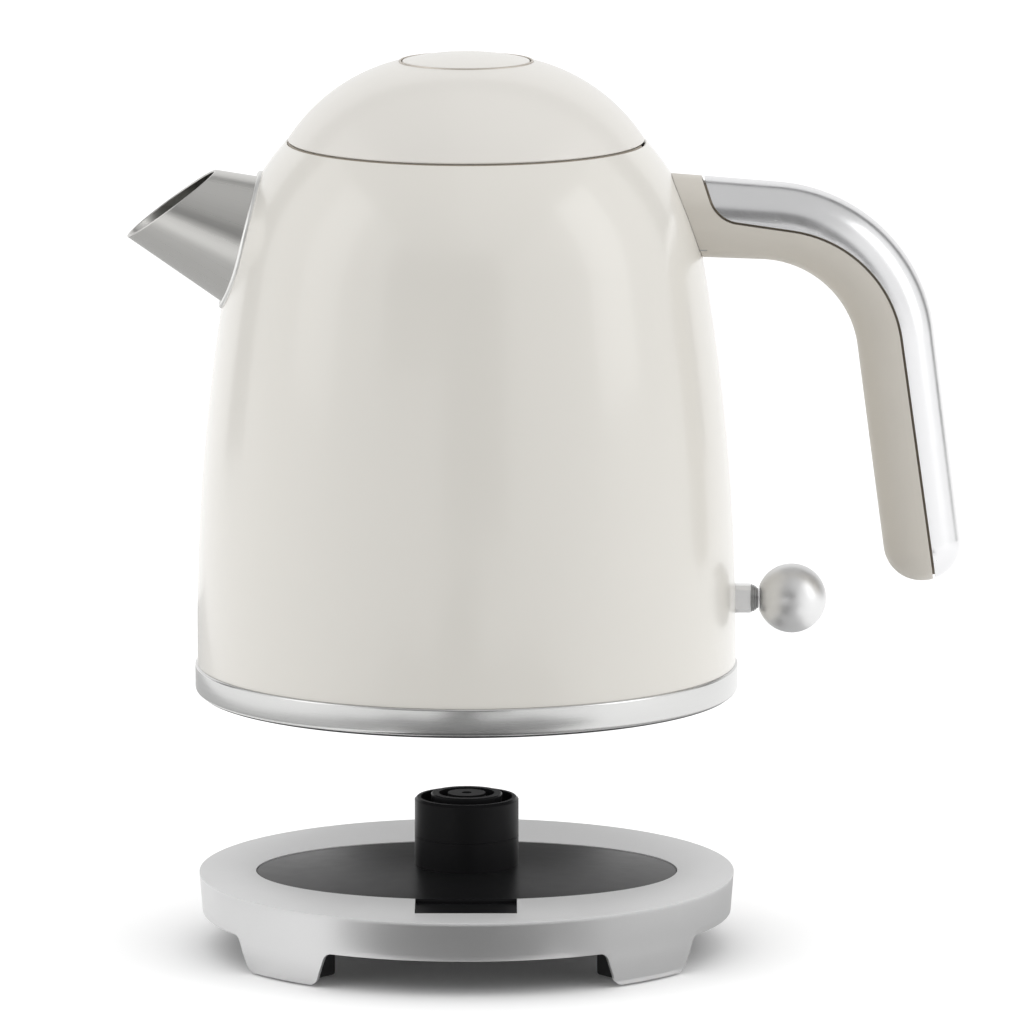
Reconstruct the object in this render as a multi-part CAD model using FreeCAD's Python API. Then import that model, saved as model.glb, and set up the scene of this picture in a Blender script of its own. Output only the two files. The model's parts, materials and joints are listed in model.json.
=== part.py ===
import FreeCAD, Part
import os
from math import asin, atan2, cos, degrees, hypot, radians, sin, sqrt, tan

Vector = FreeCAD.Vector

# Driving dimensions, in millimetres and degrees.
# Heights of kettle pieces are counted from the kettle's foot, heights of base pieces from the floor.

# Clearances
SEAT = 0.1
RUN = 0.4
PIN_PLAY = 0.05

# Kettle body
BODY_DIAMETER = 170.4
STRAIGHT_TOP = 20.0
SIDE_CURVE = 660.0
SEAM_DIAMETER = 113.4
SEAM_HEIGHT = 175.0
SHOULDER_DROP = 35.0
BODY_WALL = 1.0
RIM_ROUNDING = 0.4
BAND_STANDOUT = 0.7
BAND_TOP = 9.2
BAND_BOTTOM = 0.4
BAND_WIDTH = 4.0
BAND_LOWER_ROUNDING = 1.4
BAND_UPPER_ROUNDING = 1.0

# Lid
LID_RISE = 28.0
CROWN_CURVE = 85.0
CROWN_EDGE = 25.0
LID_WALL = 1.2
SEAM_GAP = 0.8
BUTTON_DIAMETER = 40.2
BUTTON_THICKNESS = 2.2
BUTTON_TRAVEL = 2.5
BUTTON_STEM_RADIUS = 4.0
BUTTON_RING_WIDTH = 0.6
BUTTON_RING_RISE = 0.25
SKIRT_WALL = 1.5
SKIRT_HANG = 2.2
LINER_WALL = 1.2
LINER_DROP = 7.8
PAN_INSET = 22.7
PAN_SLOPE = 4.0
GUIDE_RADIUS = 6.5
GUIDE_HEIGHT = 12.0
SEAL_INSET = 15.2
SEAL_WIDTH = 4.0
NECK_WALL = 1.7
NECK_DEPTH = 6.2
LEDGE_THICKNESS = 1.5
LEDGE_INSET = 20.7
HINGE_INSET = 6.7
HINGE_RISE = 2.0
HINGE_PIN_RADIUS = 1.5
KNUCKLE_RADIUS = 2.6
EAR_HALF_WIDTH = 4.0
CHEEK_WIDTH = 2.5
LATCH_HALF_WIDTH = 9.0
LATCH_NOSE_HALF_WIDTH = 5.0
LATCH_THICKNESS = 1.6
LATCH_TRAVEL = 2.5
LATCH_WEDGE_FOOT = -21.5
LATCH_WEDGE_TOP = -14.0
WEDGE_GAP = 0.3

# Spout
SPOUT_ROOT_DROP = 29.8
SPOUT_ROOT_RADIUS = 20.0
SPOUT_TILT = 22.0
SPOUT_TAPER = 12.8
SPOUT_LENGTH = 23.5
SPOUT_MOUTH_SLOPE = 36.4
SPOUT_WALL = 1.0
LIP_ROUNDING = 0.35
BEAD_WIDTH = 0.9
BEAD_HEIGHT = 1.0
STRAINER_WALL = 0.8
STRAINER_BORDER = 3.0
STRAINER_HOLE_RADIUS = 1.6
STRAINER_PITCH = 5.4

# Handle, with places given as (distance out from the body's side, distance below the lid seam)
HANDLE_WIDTH = 25.0
HANDLE_ROUNDING = 11.5
HANDLE_ROOT_TOP = (-27.2, 9.7)
HANDLE_BACK_CORNER = (56.6, 16.5)
HANDLE_BACK_RADIUS = 53.5
HANDLE_TIP_BACK = (72.6, 139.7)
HANDLE_TIP_FRONT = (48.1, 139.7)
HANDLE_TIP_RADIUS = 11.9
HANDLE_FRONT_CORNER = (34.6, 38.1)
HANDLE_FRONT_RADIUS = 31.8
HANDLE_ROOT_UNDER = (-27.2, 35.9)
STRAP_START = (-12.8, 4.0)
STRAP_NECK = (-6.1, 23.1)
STRAP_NECK_RADIUS = 10.0
STRAP_BEND = (47.7, 31.0)
STRAP_BEND_RADIUS = 40.8
STRAP_END = (64.5, 149.0)
STRAP_WALL = 2.0
STRAP_GROOVE = 0.8
BRACKET_THICKNESS = 2.0
BRACKET_HALF_WIDTH = 9.0
BRACKET_BOTTOM_DROP = 33.5
BRACKET_TOP_DROP = 14.0
TONGUE_HALF_WIDTH = 6.0
TONGUE_HEIGHT = 6.5
TONGUE_REACH = 18.8
HANDLE_SCREW_REACH = (-1.2, 11.8)

# Switch lever
LEVER_HEIGHT = 29.3
LEVER_PIVOT_INSET = 17.2
LEVER_TRAVEL = 12.0
LEVER_BAR_HEIGHT = 8.7
SWITCH_SLOT_ROOM = 3.0
LEVER_BAR_WIDTH = 7.0
LEVER_BAR_CHAMFER = 1.3
LEVER_BAR_STANDOUT = 4.7
LEVER_TAIL = 6.0
LEVER_PIN_RADIUS = 1.5
COLLAR_LENGTH = 2.6
COLLAR_BIG_RADIUS = 4.5
COLLAR_SMALL_RADIUS = 3.2
BALL_DIAMETER = 21.9
BALL_STANDOUT = 17.7
PLUNGER_ARM = 4.5
PLUNGER_RADIUS = 1.5
PLUNGER_LENGTH = 6.8

# Heater and control
PLATE_LEVEL = 42.0
PLATE_THICKNESS = 2.0
PLATE_RIM_HEIGHT = 6.0
PLATE_RIM_WALL = 1.5
PLATE_SEAL_WIDTH = 2.4
SPREADER_INSET = 28.2
SPREADER_THICKNESS = 3.0
ELEMENT_RING_RADIUS = 46.0
ELEMENT_TUBE_RADIUS = 3.2
ELEMENT_SWEEP = 300.0
TERMINAL_RADIUS = 1.6
TERMINAL_LENGTH = 7.0
TERMINAL_ANGLE = 3.0
CONTROL_RADIUS = 26.0
BIMETAL_RADIUS = 8.0
BIMETAL_THICKNESS = 0.9
BIMETAL_OFFSET = 11.0
STEAM_TUBE_RADIUS = 3.0
STEAM_TUBE_BORE = 2.2
STEAM_TUBE_DROP = 17.0
STEAM_TUBE_Y = 7.2
STEAM_TUBE_INBOARD = 6.4
SWITCH_BOX_INBOARD = 9.6
SWITCH_BOX_OUTBOARD = 5.0
SWITCH_BOX_HALF_WIDTH = 11.0
SWITCH_BOX_BOTTOM = 21.0

# Bottom of the kettle
COVER_THICKNESS = 2.2
COVER_EDGE = 0.3
COVER_INSET = 0.8
COVER_FLAT_INSET = 17.2
COVER_RISE = 10.4
SOCKET_PLAY = 0.7
SOCKET_WALL = 2.0
SOCKET_HEADROOM = 1.2
TAB_HALF_WIDTH = 6.0
TAB_LEVEL = 14.0
TAB_THICKNESS = 2.0
TAB_HEIGHT = 12.0
TAB_COUNT = 3
TAB_FIRST_ANGLE = 60.0
COVER_SCREW_INSET = 9.2
SCREW_RADIUS = 1.5
SCREW_HEAD_RADIUS = 2.9
SCREW_HEAD_HEIGHT = 1.8

# Power base
RING_TOP = 24.0
RING_TOP_INSET = 0.3
RING_BOTTOM_INSET = 1.3
RING_BOTTOM = 11.6
RING_WALL = 2.5
RING_FOOT_WIDTH = 3.5
RING_TOP_ROUNDING = 1.2
RING_BOTTOM_ROUNDING = 0.6
DISH_SIDE_MARGIN = 18.4
DISH_FRONT_MARGIN = 37.4
DISH_DROP = 0.2
DISH_RISE = 2.4
DISH_WALL = 2.4
DISH_EDGE_ROUNDING = 0.5
DISH_FLANGE_WIDTH = 3.0
DISH_FLANGE_THICKNESS = 1.4
TONGUE_PATCH_HALF_WIDTH = 15.8
TONGUE_PATCH_LENGTH = 21.5
TONGUE_PATCH_DROP = 1.2
POST_DIAMETER = 33.0
POST_TOP = 49.0
PLINTH_TOP = 35.4
PLINTH_WALL = 1.7
POST_FLANGE_RADIUS = 20.0
POST_FLANGE_THICKNESS = 2.4
GROOVE_DEPTH = 11.5
OUTER_GROOVE = (11.3, 14.6)
INNER_GROOVE = (6.0, 8.8)
PIN_HOLE_RADIUS = 1.6
COLLAR_DROP = 1.2
COLLAR_CHAMFER = 0.8
CORE_ROUNDING = 0.5
CONTACT_WALL = 0.9
CONTACT_REACH = 8.6
CONTACT_FLOOR = 1.5
LEG_COUNT = 4
LEG_FIRST_ANGLE = 45.0
LEG_FOOT_HALF_WIDTH = 15.0
LEG_ROOT_HALF_WIDTH = 19.6
LEG_CORNER = 3.0
LEG_EDGE_ROUNDING = 1.6
LEG_SHOULDER_INSET = 0.1
LEG_DEPTH = 18.6
LEG_FOOT_INSET = 2.6
LEG_BOTTOM = 0.7
LEG_FILLET = 3.0
PAD_RADIUS = 5.0
PAD_INSET = 11.7
PAD_THICKNESS = 1.4
UNDERPLATE_THICKNESS = 2.0
UNDERPLATE_MARGIN = 1.5
BASE_SCREW_INSET = 10.2
BOSS_RADIUS = 4.5
GLAND_RADIUS = 3.7
GLAND_BORE = 2.9
GLAND_STANDOUT = 2.0
GLAND_FLANGE_RADIUS = 6.5
GLAND_FLANGE_THICKNESS = 1.8
TERMINAL_BLOCK_HALF = (14.0, 10.0)

# The kettle is held this far above the base
LIFT = 58.35

# Places that follow from the driving dimensions

BODY_RADIUS = BODY_DIAMETER / 2
SEAM_RADIUS = SEAM_DIAMETER / 2
BAND_RADIUS = BODY_RADIUS + BAND_STANDOUT
SHOULDER_START = SEAM_HEIGHT - SHOULDER_DROP
LID_TOP = SEAM_HEIGHT + LID_RISE
PAN_RADIUS = SEAM_RADIUS - PAN_INSET
SEAL_OUTER_RADIUS = SEAM_RADIUS - SEAL_INSET
SEAL_INNER_RADIUS = SEAL_OUTER_RADIUS - SEAL_WIDTH
LEDGE_INNER_RADIUS = SEAM_RADIUS - LEDGE_INSET
HINGE_X = SEAM_RADIUS - HINGE_INSET
SPOUT_ROOT_HEIGHT = SEAM_HEIGHT - SPOUT_ROOT_DROP
BRACKET_BOTTOM = SEAM_HEIGHT - BRACKET_BOTTOM_DROP
BRACKET_TOP = SEAM_HEIGHT - BRACKET_TOP_DROP
TONGUE_TOP = BRACKET_BOTTOM + TONGUE_HEIGHT
TONGUE_END = BODY_RADIUS + TONGUE_REACH
LEVER_PIVOT_X = BODY_RADIUS - LEVER_PIVOT_INSET
LEVER_BAR_END = BODY_RADIUS + LEVER_BAR_STANDOUT
BALL_CENTRE_X = BODY_RADIUS + BALL_STANDOUT
SPREADER_RADIUS = BODY_RADIUS - SPREADER_INSET
STEAM_TUBE_TOP = SEAM_HEIGHT - STEAM_TUBE_DROP
STEAM_TUBE_X = LEVER_PIVOT_X - STEAM_TUBE_INBOARD
SWITCH_BOX_INNER_X = LEVER_PIVOT_X - SWITCH_BOX_INBOARD
SWITCH_BOX_OUTER_X = LEVER_PIVOT_X + SWITCH_BOX_OUTBOARD
COVER_RADIUS = BODY_RADIUS - COVER_INSET
COVER_FLAT_RADIUS = BODY_RADIUS - COVER_FLAT_INSET
COVER_SCREW_CIRCLE = BODY_RADIUS - COVER_SCREW_INSET
RING_TOP_RADIUS = BODY_RADIUS - RING_TOP_INSET
RING_BOTTOM_RADIUS = BODY_RADIUS - RING_BOTTOM_INSET
DISH_HALF_LENGTH = BODY_RADIUS - DISH_SIDE_MARGIN
DISH_HALF_DEPTH = BODY_RADIUS - DISH_FRONT_MARGIN
TONGUE_PATCH_REACH = DISH_HALF_DEPTH + TONGUE_PATCH_LENGTH
RING_INNER_RADIUS = min(RING_TOP_RADIUS - RING_WALL, RING_BOTTOM_RADIUS - RING_FOOT_WIDTH)
LEG_FOOT_RADIUS = BODY_RADIUS - LEG_FOOT_INSET
LEG_INNER_RADIUS = LEG_FOOT_RADIUS - LEG_DEPTH
PAD_CIRCLE = BODY_RADIUS - PAD_INSET
BASE_SCREW_CIRCLE = BODY_RADIUS - BASE_SCREW_INSET


# Plane geometry in the upright XZ plane


def spot(x, z, y=0.0):
    return Vector(x, y, z)


def polar(centre, radius, angle):
    return Vector(centre.x + radius * cos(angle), 0, centre.z + radius * sin(angle))


def line(start, end):
    return Part.LineSegment(start, end).toShape()


def arc(centre, radius, first, last):
    middle = polar(centre, radius, (first + last) / 2)
    return Part.Arc(polar(centre, radius, first), middle, polar(centre, radius, last)).toShape()


def tangent_curve(start, inward, end):
    """Centre and radius of the arc that leaves start square to inward and ends at end."""
    chord = end - start
    radius = chord.dot(chord) / (2 * chord.dot(inward))
    return start + inward * radius, radius


def rounded(corners):
    """Closed wire through corners (x, z) or (x, z, rounding)."""
    edges = []
    starts = []
    ends = []
    count = len(corners)
    for index, corner in enumerate(corners):
        here = spot(corner[0], corner[1])
        radius = corner[2] if len(corner) > 2 else 0.0
        before = corners[index - 1]
        after = corners[(index + 1) % count]
        back = (spot(before[0], before[1]) - here).normalize()
        ahead = (spot(after[0], after[1]) - here).normalize()
        if radius == 0.0:
            starts.append(here)
            ends.append(here)
            edges.append(None)
            continue
        half = back.getAngle(ahead) / 2
        reach = radius / tan(half)
        first = here + back * reach
        last = here + ahead * reach
        towards = (back + ahead).normalize()
        middle = here + towards * (radius / sin(half) - radius)
        starts.append(first)
        ends.append(last)
        edges.append(Part.Arc(first, middle, last).toShape())
    wire = []
    for index in range(count):
        if edges[index] is not None:
            wire.append(edges[index])
        following = starts[(index + 1) % count]
        if (following - ends[index]).Length > 1e-6:
            wire.append(line(ends[index], following))
    return Part.Wire(wire)


# Solids


def spin(wire):
    return Part.Face(wire).revolve(Vector(0, 0, 0), Vector(0, 0, 1), 360)


def lathe(*corners):
    return spin(rounded(corners))


def ring(inner, outer, low, high):
    return lathe((inner, low), (outer, low), (outer, high), (inner, high))


def slab(wire, half_width):
    face = Part.Face(wire)
    face.translate(Vector(0, -half_width, 0))
    return face.extrude(Vector(0, 2 * half_width, 0))


def prism(half_width, *corners):
    return slab(rounded(corners), half_width)


def brick(x, y, z):
    return Part.makeBox(x[1] - x[0], y[1] - y[0], z[1] - z[0], Vector(x[0], y[0], z[0]))


def rod(radius, start, end):
    return Part.makeCylinder(radius, (end - start).Length, start, end - start)


def post(radius, low, high, x=0.0, y=0.0):
    return rod(radius, spot(x, low, y), spot(x, high, y))


def turned(shape, angle):
    copy = shape.copy()
    copy.rotate(Vector(0, 0, 0), Vector(0, 0, 1), angle)
    return copy


def around(shape, count, first_angle):
    return [turned(shape, first_angle + 360.0 * index / count) for index in range(count)]


def screw(head_low, head_high, tip, x, y):
    """Round-headed screw with its head at the bottom."""
    head = post(SCREW_HEAD_RADIUS, head_low, head_high, x, y)
    return head.fuse(post(SCREW_RADIUS, head_high, tip, x, y)).removeSplitter()


def circles(shape, radius, height):
    """The edges of a shape that run round its axis at one radius and height."""
    found = []
    for edge in shape.Edges:
        if edge.Degenerated:
            continue
        places = edge.discretize(5)
        if all(abs(hypot(place.x, place.y) - radius) + abs(place.z - height) < 1e-2 for place in places):
            found.append(edge)
    return found


# Outline of the kettle body

SEAM = spot(SEAM_RADIUS, SEAM_HEIGHT)
SHELL_FOOT = BAND_TOP + SEAT

side_centre = spot(BODY_RADIUS - SIDE_CURVE, STRAIGHT_TOP)
side_turn = asin((SHOULDER_START - STRAIGHT_TOP) / SIDE_CURVE)
shoulder_point = polar(side_centre, SIDE_CURVE, side_turn)
shoulder_inward = Vector(-cos(side_turn), 0, -sin(side_turn))
shoulder_centre, shoulder_curve = tangent_curve(shoulder_point, shoulder_inward, SEAM)
seam_turn = atan2(SEAM.z - shoulder_centre.z, SEAM.x - shoulder_centre.x)


def body_side(inset):
    """Edges of the body's outline from its foot to the lid seam, moved inwards by inset."""
    foot = spot(BODY_RADIUS - inset, SHELL_FOOT)
    return [
        line(foot, spot(BODY_RADIUS - inset, STRAIGHT_TOP)),
        arc(side_centre, SIDE_CURVE - inset, 0, side_turn),
        arc(shoulder_centre, shoulder_curve - inset, side_turn, seam_turn),
    ]


def body_rim(inset):
    return polar(shoulder_centre, shoulder_curve - inset, seam_turn)


def body_radius(height, inset=0.0):
    if height <= STRAIGHT_TOP:
        return BODY_RADIUS - inset
    if height <= shoulder_point.z:
        return side_centre.x + sqrt((SIDE_CURVE - inset) ** 2 - (height - STRAIGHT_TOP) ** 2)
    return shoulder_centre.x + sqrt((shoulder_curve - inset) ** 2 - (height - shoulder_centre.z) ** 2)


def body_layer(outer, inner):
    """Sheet of revolution that follows the body between two insets."""
    foot_outer = spot(BODY_RADIUS - outer, SHELL_FOOT)
    foot_inner = spot(BODY_RADIUS - inner, SHELL_FOOT)
    edges = body_side(outer) + body_side(inner)
    edges += [line(body_rim(outer), body_rim(inner)), line(foot_outer, foot_inner)]
    return spin(Part.Wire(Part.__sortEdges__(edges)))


def body_block(inset):
    """The body filled solid, moved inwards by inset."""
    rim = body_rim(inset)
    edges = body_side(inset)
    edges += [
        line(rim, spot(0, rim.z)),
        line(spot(0, rim.z), spot(0, SHELL_FOOT)),
        line(spot(0, SHELL_FOOT), spot(BODY_RADIUS - inset, SHELL_FOOT)),
    ]
    return spin(Part.Wire(Part.__sortEdges__(edges)))


# Outline of the lid

along_seam = Vector(-sin(seam_turn), 0, cos(seam_turn))
lid_edge = SEAM + along_seam * SEAM_GAP
crown_centre = spot(0, LID_TOP - CROWN_CURVE)
crown_turn = atan2(sqrt(CROWN_CURVE**2 - CROWN_EDGE**2), CROWN_EDGE)
crown_point = polar(crown_centre, CROWN_CURVE, crown_turn)
crown_inward = Vector(-cos(crown_turn), 0, -sin(crown_turn))
lid_centre, lid_curve = tangent_curve(crown_point, crown_inward, lid_edge)
lid_turn = atan2(lid_edge.z - lid_centre.z, lid_edge.x - lid_centre.x)


def crown_height(radius, inset=0.0):
    return crown_centre.z + sqrt((CROWN_CURVE - inset) ** 2 - radius**2)


def lid_rim(inset):
    return polar(lid_centre, lid_curve - inset, lid_turn)


def lid_layer(outer, inner):
    """Sheet of revolution that follows the lid between two insets."""
    edges = []
    for inset in (outer, inner):
        edges.append(arc(crown_centre, CROWN_CURVE - inset, radians(90), crown_turn))
        edges.append(arc(lid_centre, lid_curve - inset, crown_turn, lid_turn))
    edges.append(line(lid_rim(outer), lid_rim(inner)))
    edges.append(line(spot(0, LID_TOP - outer), spot(0, LID_TOP - inner)))
    return spin(Part.Wire(Part.__sortEdges__(edges)))


def lid_block(inset):
    """The lid filled solid down to its liner, moved inwards by inset."""
    edge = lid_rim(inset)
    edges = [
        arc(crown_centre, CROWN_CURVE - inset, radians(90), crown_turn),
        arc(lid_centre, lid_curve - inset, crown_turn, lid_turn),
        line(edge, spot(edge.x, LINER_TOP)),
        line(spot(edge.x, LINER_TOP), spot(0, LINER_TOP)),
        line(spot(0, LINER_TOP), spot(0, LID_TOP - inset)),
    ]
    return spin(Part.Wire(Part.__sortEdges__(edges)))


# Levels that several pieces share

NECK_OUTER = body_rim(BODY_WALL).x - SEAT
NECK_INNER = NECK_OUTER - NECK_WALL
NECK_TOP = body_rim(BODY_WALL).z - SEAT
LEDGE_TOP = NECK_TOP - NECK_DEPTH + LEDGE_THICKNESS
SKIRT_OUTER = NECK_INNER - RUN
SKIRT_INNER = SKIRT_OUTER - SKIRT_WALL
LINER_TOP = SEAM_HEIGHT - SKIRT_HANG
LINER_FLANGE_RADIUS = SKIRT_OUTER - SEAT
PAN_FLOOR = LINER_TOP - LINER_DROP + LINER_WALL
GUIDE_TOP = PAN_FLOOR + GUIDE_HEIGHT
HINGE_Z = SEAM_HEIGHT + HINGE_RISE
HINGE_NOTCH = EAR_HALF_WIDTH + 3 * RUN
CHEEK_INNER = EAR_HALF_WIDTH + RUN
CHEEK_OUTER = CHEEK_INNER + CHEEK_WIDTH
LATCH_LOW = LINER_TOP + RUN / 2
LATCH_HIGH = LATCH_LOW + LATCH_THICKNESS
BUTTON_RADIUS = BUTTON_DIAMETER / 2
BUTTON_HOLE = BUTTON_RADIUS + RUN + BUTTON_RING_WIDTH + SEAT

POST_RADIUS = POST_DIAMETER / 2
NECK_RADIUS = POST_RADIUS - PLINTH_WALL - SEAT
SOCKET_RADIUS = POST_RADIUS + SOCKET_PLAY
SOCKET_OUTER = SOCKET_RADIUS + SOCKET_WALL
SOCKET_CEILING = POST_TOP - RING_TOP + SOCKET_HEADROOM
SOCKET_TOP = SOCKET_CEILING + SOCKET_WALL
SPREADER_LOW = PLATE_LEVEL - SEAT - SPREADER_THICKNESS
BIMETAL_LOW = SPREADER_LOW - SEAT - BIMETAL_THICKNESS
SWITCH_BOX_TOP = PLATE_LEVEL - SEAT
SWITCH_SLOT_TOP = LEVER_HEIGHT + LEVER_BAR_HEIGHT / 2 + SWITCH_SLOT_ROOM
LEVER_SLOT_HALF_WIDTH = LEVER_BAR_WIDTH / 2 + RUN
PLUNGER_X = LEVER_PIVOT_X - PLUNGER_ARM

FOOT_LEVEL = RING_TOP + LIFT
DISH_EDGE = RING_TOP - DISH_DROP
RING_PLATE_LOW = RING_TOP - RING_WALL
FLANGE_TOP = RING_PLATE_LOW - SEAT
FLANGE_LOW = FLANGE_TOP - DISH_FLANGE_THICKNESS


def dish_curve(length):
    """Radius of the ball whose cap rises by the dish's height over this half length."""
    return (length**2 + DISH_RISE**2) / (2 * DISH_RISE)


def dish_ceiling(radius):
    """Height of the dish's underside at a radius, where it is lowest around the axis."""
    length = DISH_HALF_LENGTH - DISH_WALL
    curve = dish_curve(length)
    reach = radius * length / (DISH_HALF_DEPTH - DISH_WALL)
    return DISH_EDGE - DISH_WALL + DISH_RISE - curve + sqrt(curve**2 - reach**2)


POST_SEAT = dish_ceiling(POST_FLANGE_RADIUS) - SEAT
UNDERPLATE_LOW = RING_BOTTOM + SEAT
UNDERPLATE_TOP = UNDERPLATE_LOW + UNDERPLATE_THICKNESS
UNDERPLATE_RADIUS = RING_BOTTOM_RADIUS - RING_WALL - UNDERPLATE_MARGIN
GROOVE_FLOOR = POST_TOP - GROOVE_DEPTH
GLAND_HEIGHT = (UNDERPLATE_TOP + RING_PLATE_LOW) / 2


# Kettle body pieces

spout_axis = Vector(-cos(radians(SPOUT_TILT)), 0, sin(radians(SPOUT_TILT)))
spout_root = spot(-body_radius(SPOUT_ROOT_HEIGHT), SPOUT_ROOT_HEIGHT)
spout_apex = spout_root + spout_axis * (SPOUT_ROOT_RADIUS / tan(radians(SPOUT_TAPER)))
spout_mouth = spout_root + spout_axis * SPOUT_LENGTH


def spout_cone(grow):
    """The spout's cone from deep inside the body to its apex, with its wall moved outwards by grow."""
    apex = spout_apex + spout_axis * (grow / sin(radians(SPOUT_TAPER)))
    depth = (apex - spout_root).Length + SPOUT_ROOT_RADIUS
    base = apex - spout_axis * depth
    return Part.makeCone(depth * tan(radians(SPOUT_TAPER)), 0, depth, base, spout_axis)


def mouth_cutter():
    """Everything on the pouring side of the slanted mouth."""
    size = 4 * SPOUT_ROOT_RADIUS
    block = brick((-size, size), (-size, size), (0, size))
    block.rotate(Vector(0, 0, 0), Vector(0, 1, 0), -SPOUT_MOUTH_SLOPE)
    block.translate(spout_mouth)
    return block


def make_vessel_shell():
    shell = body_layer(0, BODY_WALL)
    shell = shell.makeFillet(RIM_ROUNDING, circles(shell, SEAM_RADIUS, SEAM_HEIGHT))
    shell = shell.cut(spout_side(spout_cone(-SPOUT_WALL)))
    reach = BODY_RADIUS - LEVER_PIVOT_X
    drop = reach * sin(radians(LEVER_TRAVEL)) + RUN
    low = LEVER_HEIGHT - LEVER_BAR_HEIGHT / 2 - drop
    high = LEVER_HEIGHT + LEVER_BAR_HEIGHT / 2 + RUN
    half = LEVER_SLOT_HALF_WIDTH
    slot = brick((LEVER_PIVOT_X, BODY_RADIUS + 1), (-half, half), (low, high))
    return shell.cut(slot)


def spout_side(shape):
    """The part of a shape on the spout's side of the kettle."""
    return shape.common(brick((-3 * BODY_RADIUS, 0), (-BODY_RADIUS, BODY_RADIUS), (0, 2 * SEAM_HEIGHT)))


def make_spout():
    spout = spout_side(spout_cone(0).cut(spout_cone(-SPOUT_WALL)))
    spout = spout.cut(mouth_cutter()).cut(body_block(-SEAT))
    slope = radians(SPOUT_MOUTH_SLOPE)
    outwards = Vector(-sin(slope), 0, cos(slope))
    lip = []
    for edge in spout.Edges:
        middle = edge.valueAt((edge.FirstParameter + edge.LastParameter) / 2)
        places = [middle] + [vertex.Point for vertex in edge.Vertexes]
        if all(abs((place - spout_mouth).dot(outwards)) < 1e-3 for place in places):
            lip.append(edge)
    return spout.makeFillet(LIP_ROUNDING, lip)


def make_spout_bead():
    sheet = body_layer(-SEAT - BEAD_HEIGHT, -SEAT)
    bead = sheet.common(spout_side(spout_cone(SEAT + BEAD_WIDTH)))
    return bead.cut(spout_cone(SEAT))


def make_spout_strainer():
    inner = BODY_WALL + SEAT
    sheet = body_layer(inner, inner + STRAINER_WALL)
    plate = sheet.common(spout_side(spout_cone(STRAINER_BORDER)))
    rows = int(SPOUT_ROOT_RADIUS / STRAINER_PITCH)
    drills = []
    for row in range(-rows, rows + 1):
        for column in range(-rows, rows + 1):
            along = row * STRAINER_PITCH
            across = column * STRAINER_PITCH
            if hypot(along, across) > SPOUT_ROOT_RADIUS - STRAINER_BORDER:
                continue
            start = spot(0, SPOUT_ROOT_HEIGHT + along, across)
            drills.append(rod(STRAINER_HOLE_RADIUS, start, start - Vector(BODY_RADIUS, 0, 0)))
    return plate.cut(drills)


def make_base_band():
    inner = BAND_RADIUS - BAND_WIDTH
    return lathe(
        (inner, BAND_BOTTOM),
        (BAND_RADIUS, BAND_BOTTOM, BAND_LOWER_ROUNDING),
        (BAND_RADIUS, BAND_TOP, BAND_UPPER_ROUNDING),
        (inner, BAND_TOP),
    )


def cover_underside(radius):
    slope = COVER_RISE / (COVER_FLAT_RADIUS - SOCKET_OUTER)
    return (COVER_FLAT_RADIUS - radius) * slope


def make_bottom_cover():
    inside = BAND_RADIUS - BAND_WIDTH - SEAT
    hole = SOCKET_OUTER + SEAT
    cover = lathe(
        (COVER_RADIUS, 0),
        (COVER_RADIUS, COVER_EDGE),
        (inside, COVER_EDGE),
        (inside, BAND_BOTTOM + 2 * COVER_THICKNESS),
        (inside - COVER_THICKNESS, BAND_BOTTOM + 2 * COVER_THICKNESS),
        (inside - COVER_THICKNESS, COVER_THICKNESS),
        (COVER_FLAT_RADIUS, COVER_THICKNESS),
        (hole, cover_underside(hole) + COVER_THICKNESS),
        (hole, cover_underside(hole)),
        (COVER_FLAT_RADIUS, 0),
    )
    boss = post(BOSS_RADIUS, COVER_THICKNESS / 2, TAB_LEVEL - SEAT, COVER_SCREW_CIRCLE)
    cover = cover.fuse(around(boss, TAB_COUNT, TAB_FIRST_ANGLE)).removeSplitter()
    bore = post(SCREW_RADIUS + SEAT, -1, TAB_LEVEL, COVER_SCREW_CIRCLE)
    sink = post(SCREW_HEAD_RADIUS + SEAT, -1, 2 * SCREW_HEAD_HEIGHT, COVER_SCREW_CIRCLE)
    return cover.cut(around(bore.fuse(sink), TAB_COUNT, TAB_FIRST_ANGLE))


def make_cover_screws():
    head_top = 2 * SCREW_HEAD_HEIGHT
    tip = TAB_LEVEL + TAB_THICKNESS + 1.0
    one = screw(head_top - SCREW_HEAD_HEIGHT, head_top, tip, COVER_SCREW_CIRCLE, 0)
    return Part.makeCompound(around(one, TAB_COUNT, TAB_FIRST_ANGLE))


def make_cover_brackets():
    wall = sqrt((BODY_RADIUS - BODY_WALL - SEAT) ** 2 - TAB_HALF_WIDTH**2)
    width = (-TAB_HALF_WIDTH, TAB_HALF_WIDTH)
    foot_x = COVER_SCREW_CIRCLE - BOSS_RADIUS
    foot = brick((foot_x, wall), width, (TAB_LEVEL, TAB_LEVEL + TAB_THICKNESS))
    upright = brick((wall - TAB_THICKNESS, wall), width, (TAB_LEVEL, TAB_LEVEL + TAB_HEIGHT))
    bore = post(SCREW_RADIUS + PIN_PLAY, 0, TAB_LEVEL + TAB_HEIGHT, COVER_SCREW_CIRCLE)
    one = foot.fuse(upright).removeSplitter().cut(bore)
    return Part.makeCompound(around(one, TAB_COUNT, TAB_FIRST_ANGLE))


def plate_rim_radius():
    """Outside of the heating plate's rim, with room for its seal inside the vessel."""
    rim_top = PLATE_LEVEL + PLATE_THICKNESS + PLATE_RIM_HEIGHT
    return body_radius(rim_top, BODY_WALL) - SEAT - PLATE_SEAL_WIDTH - SEAT


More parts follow.
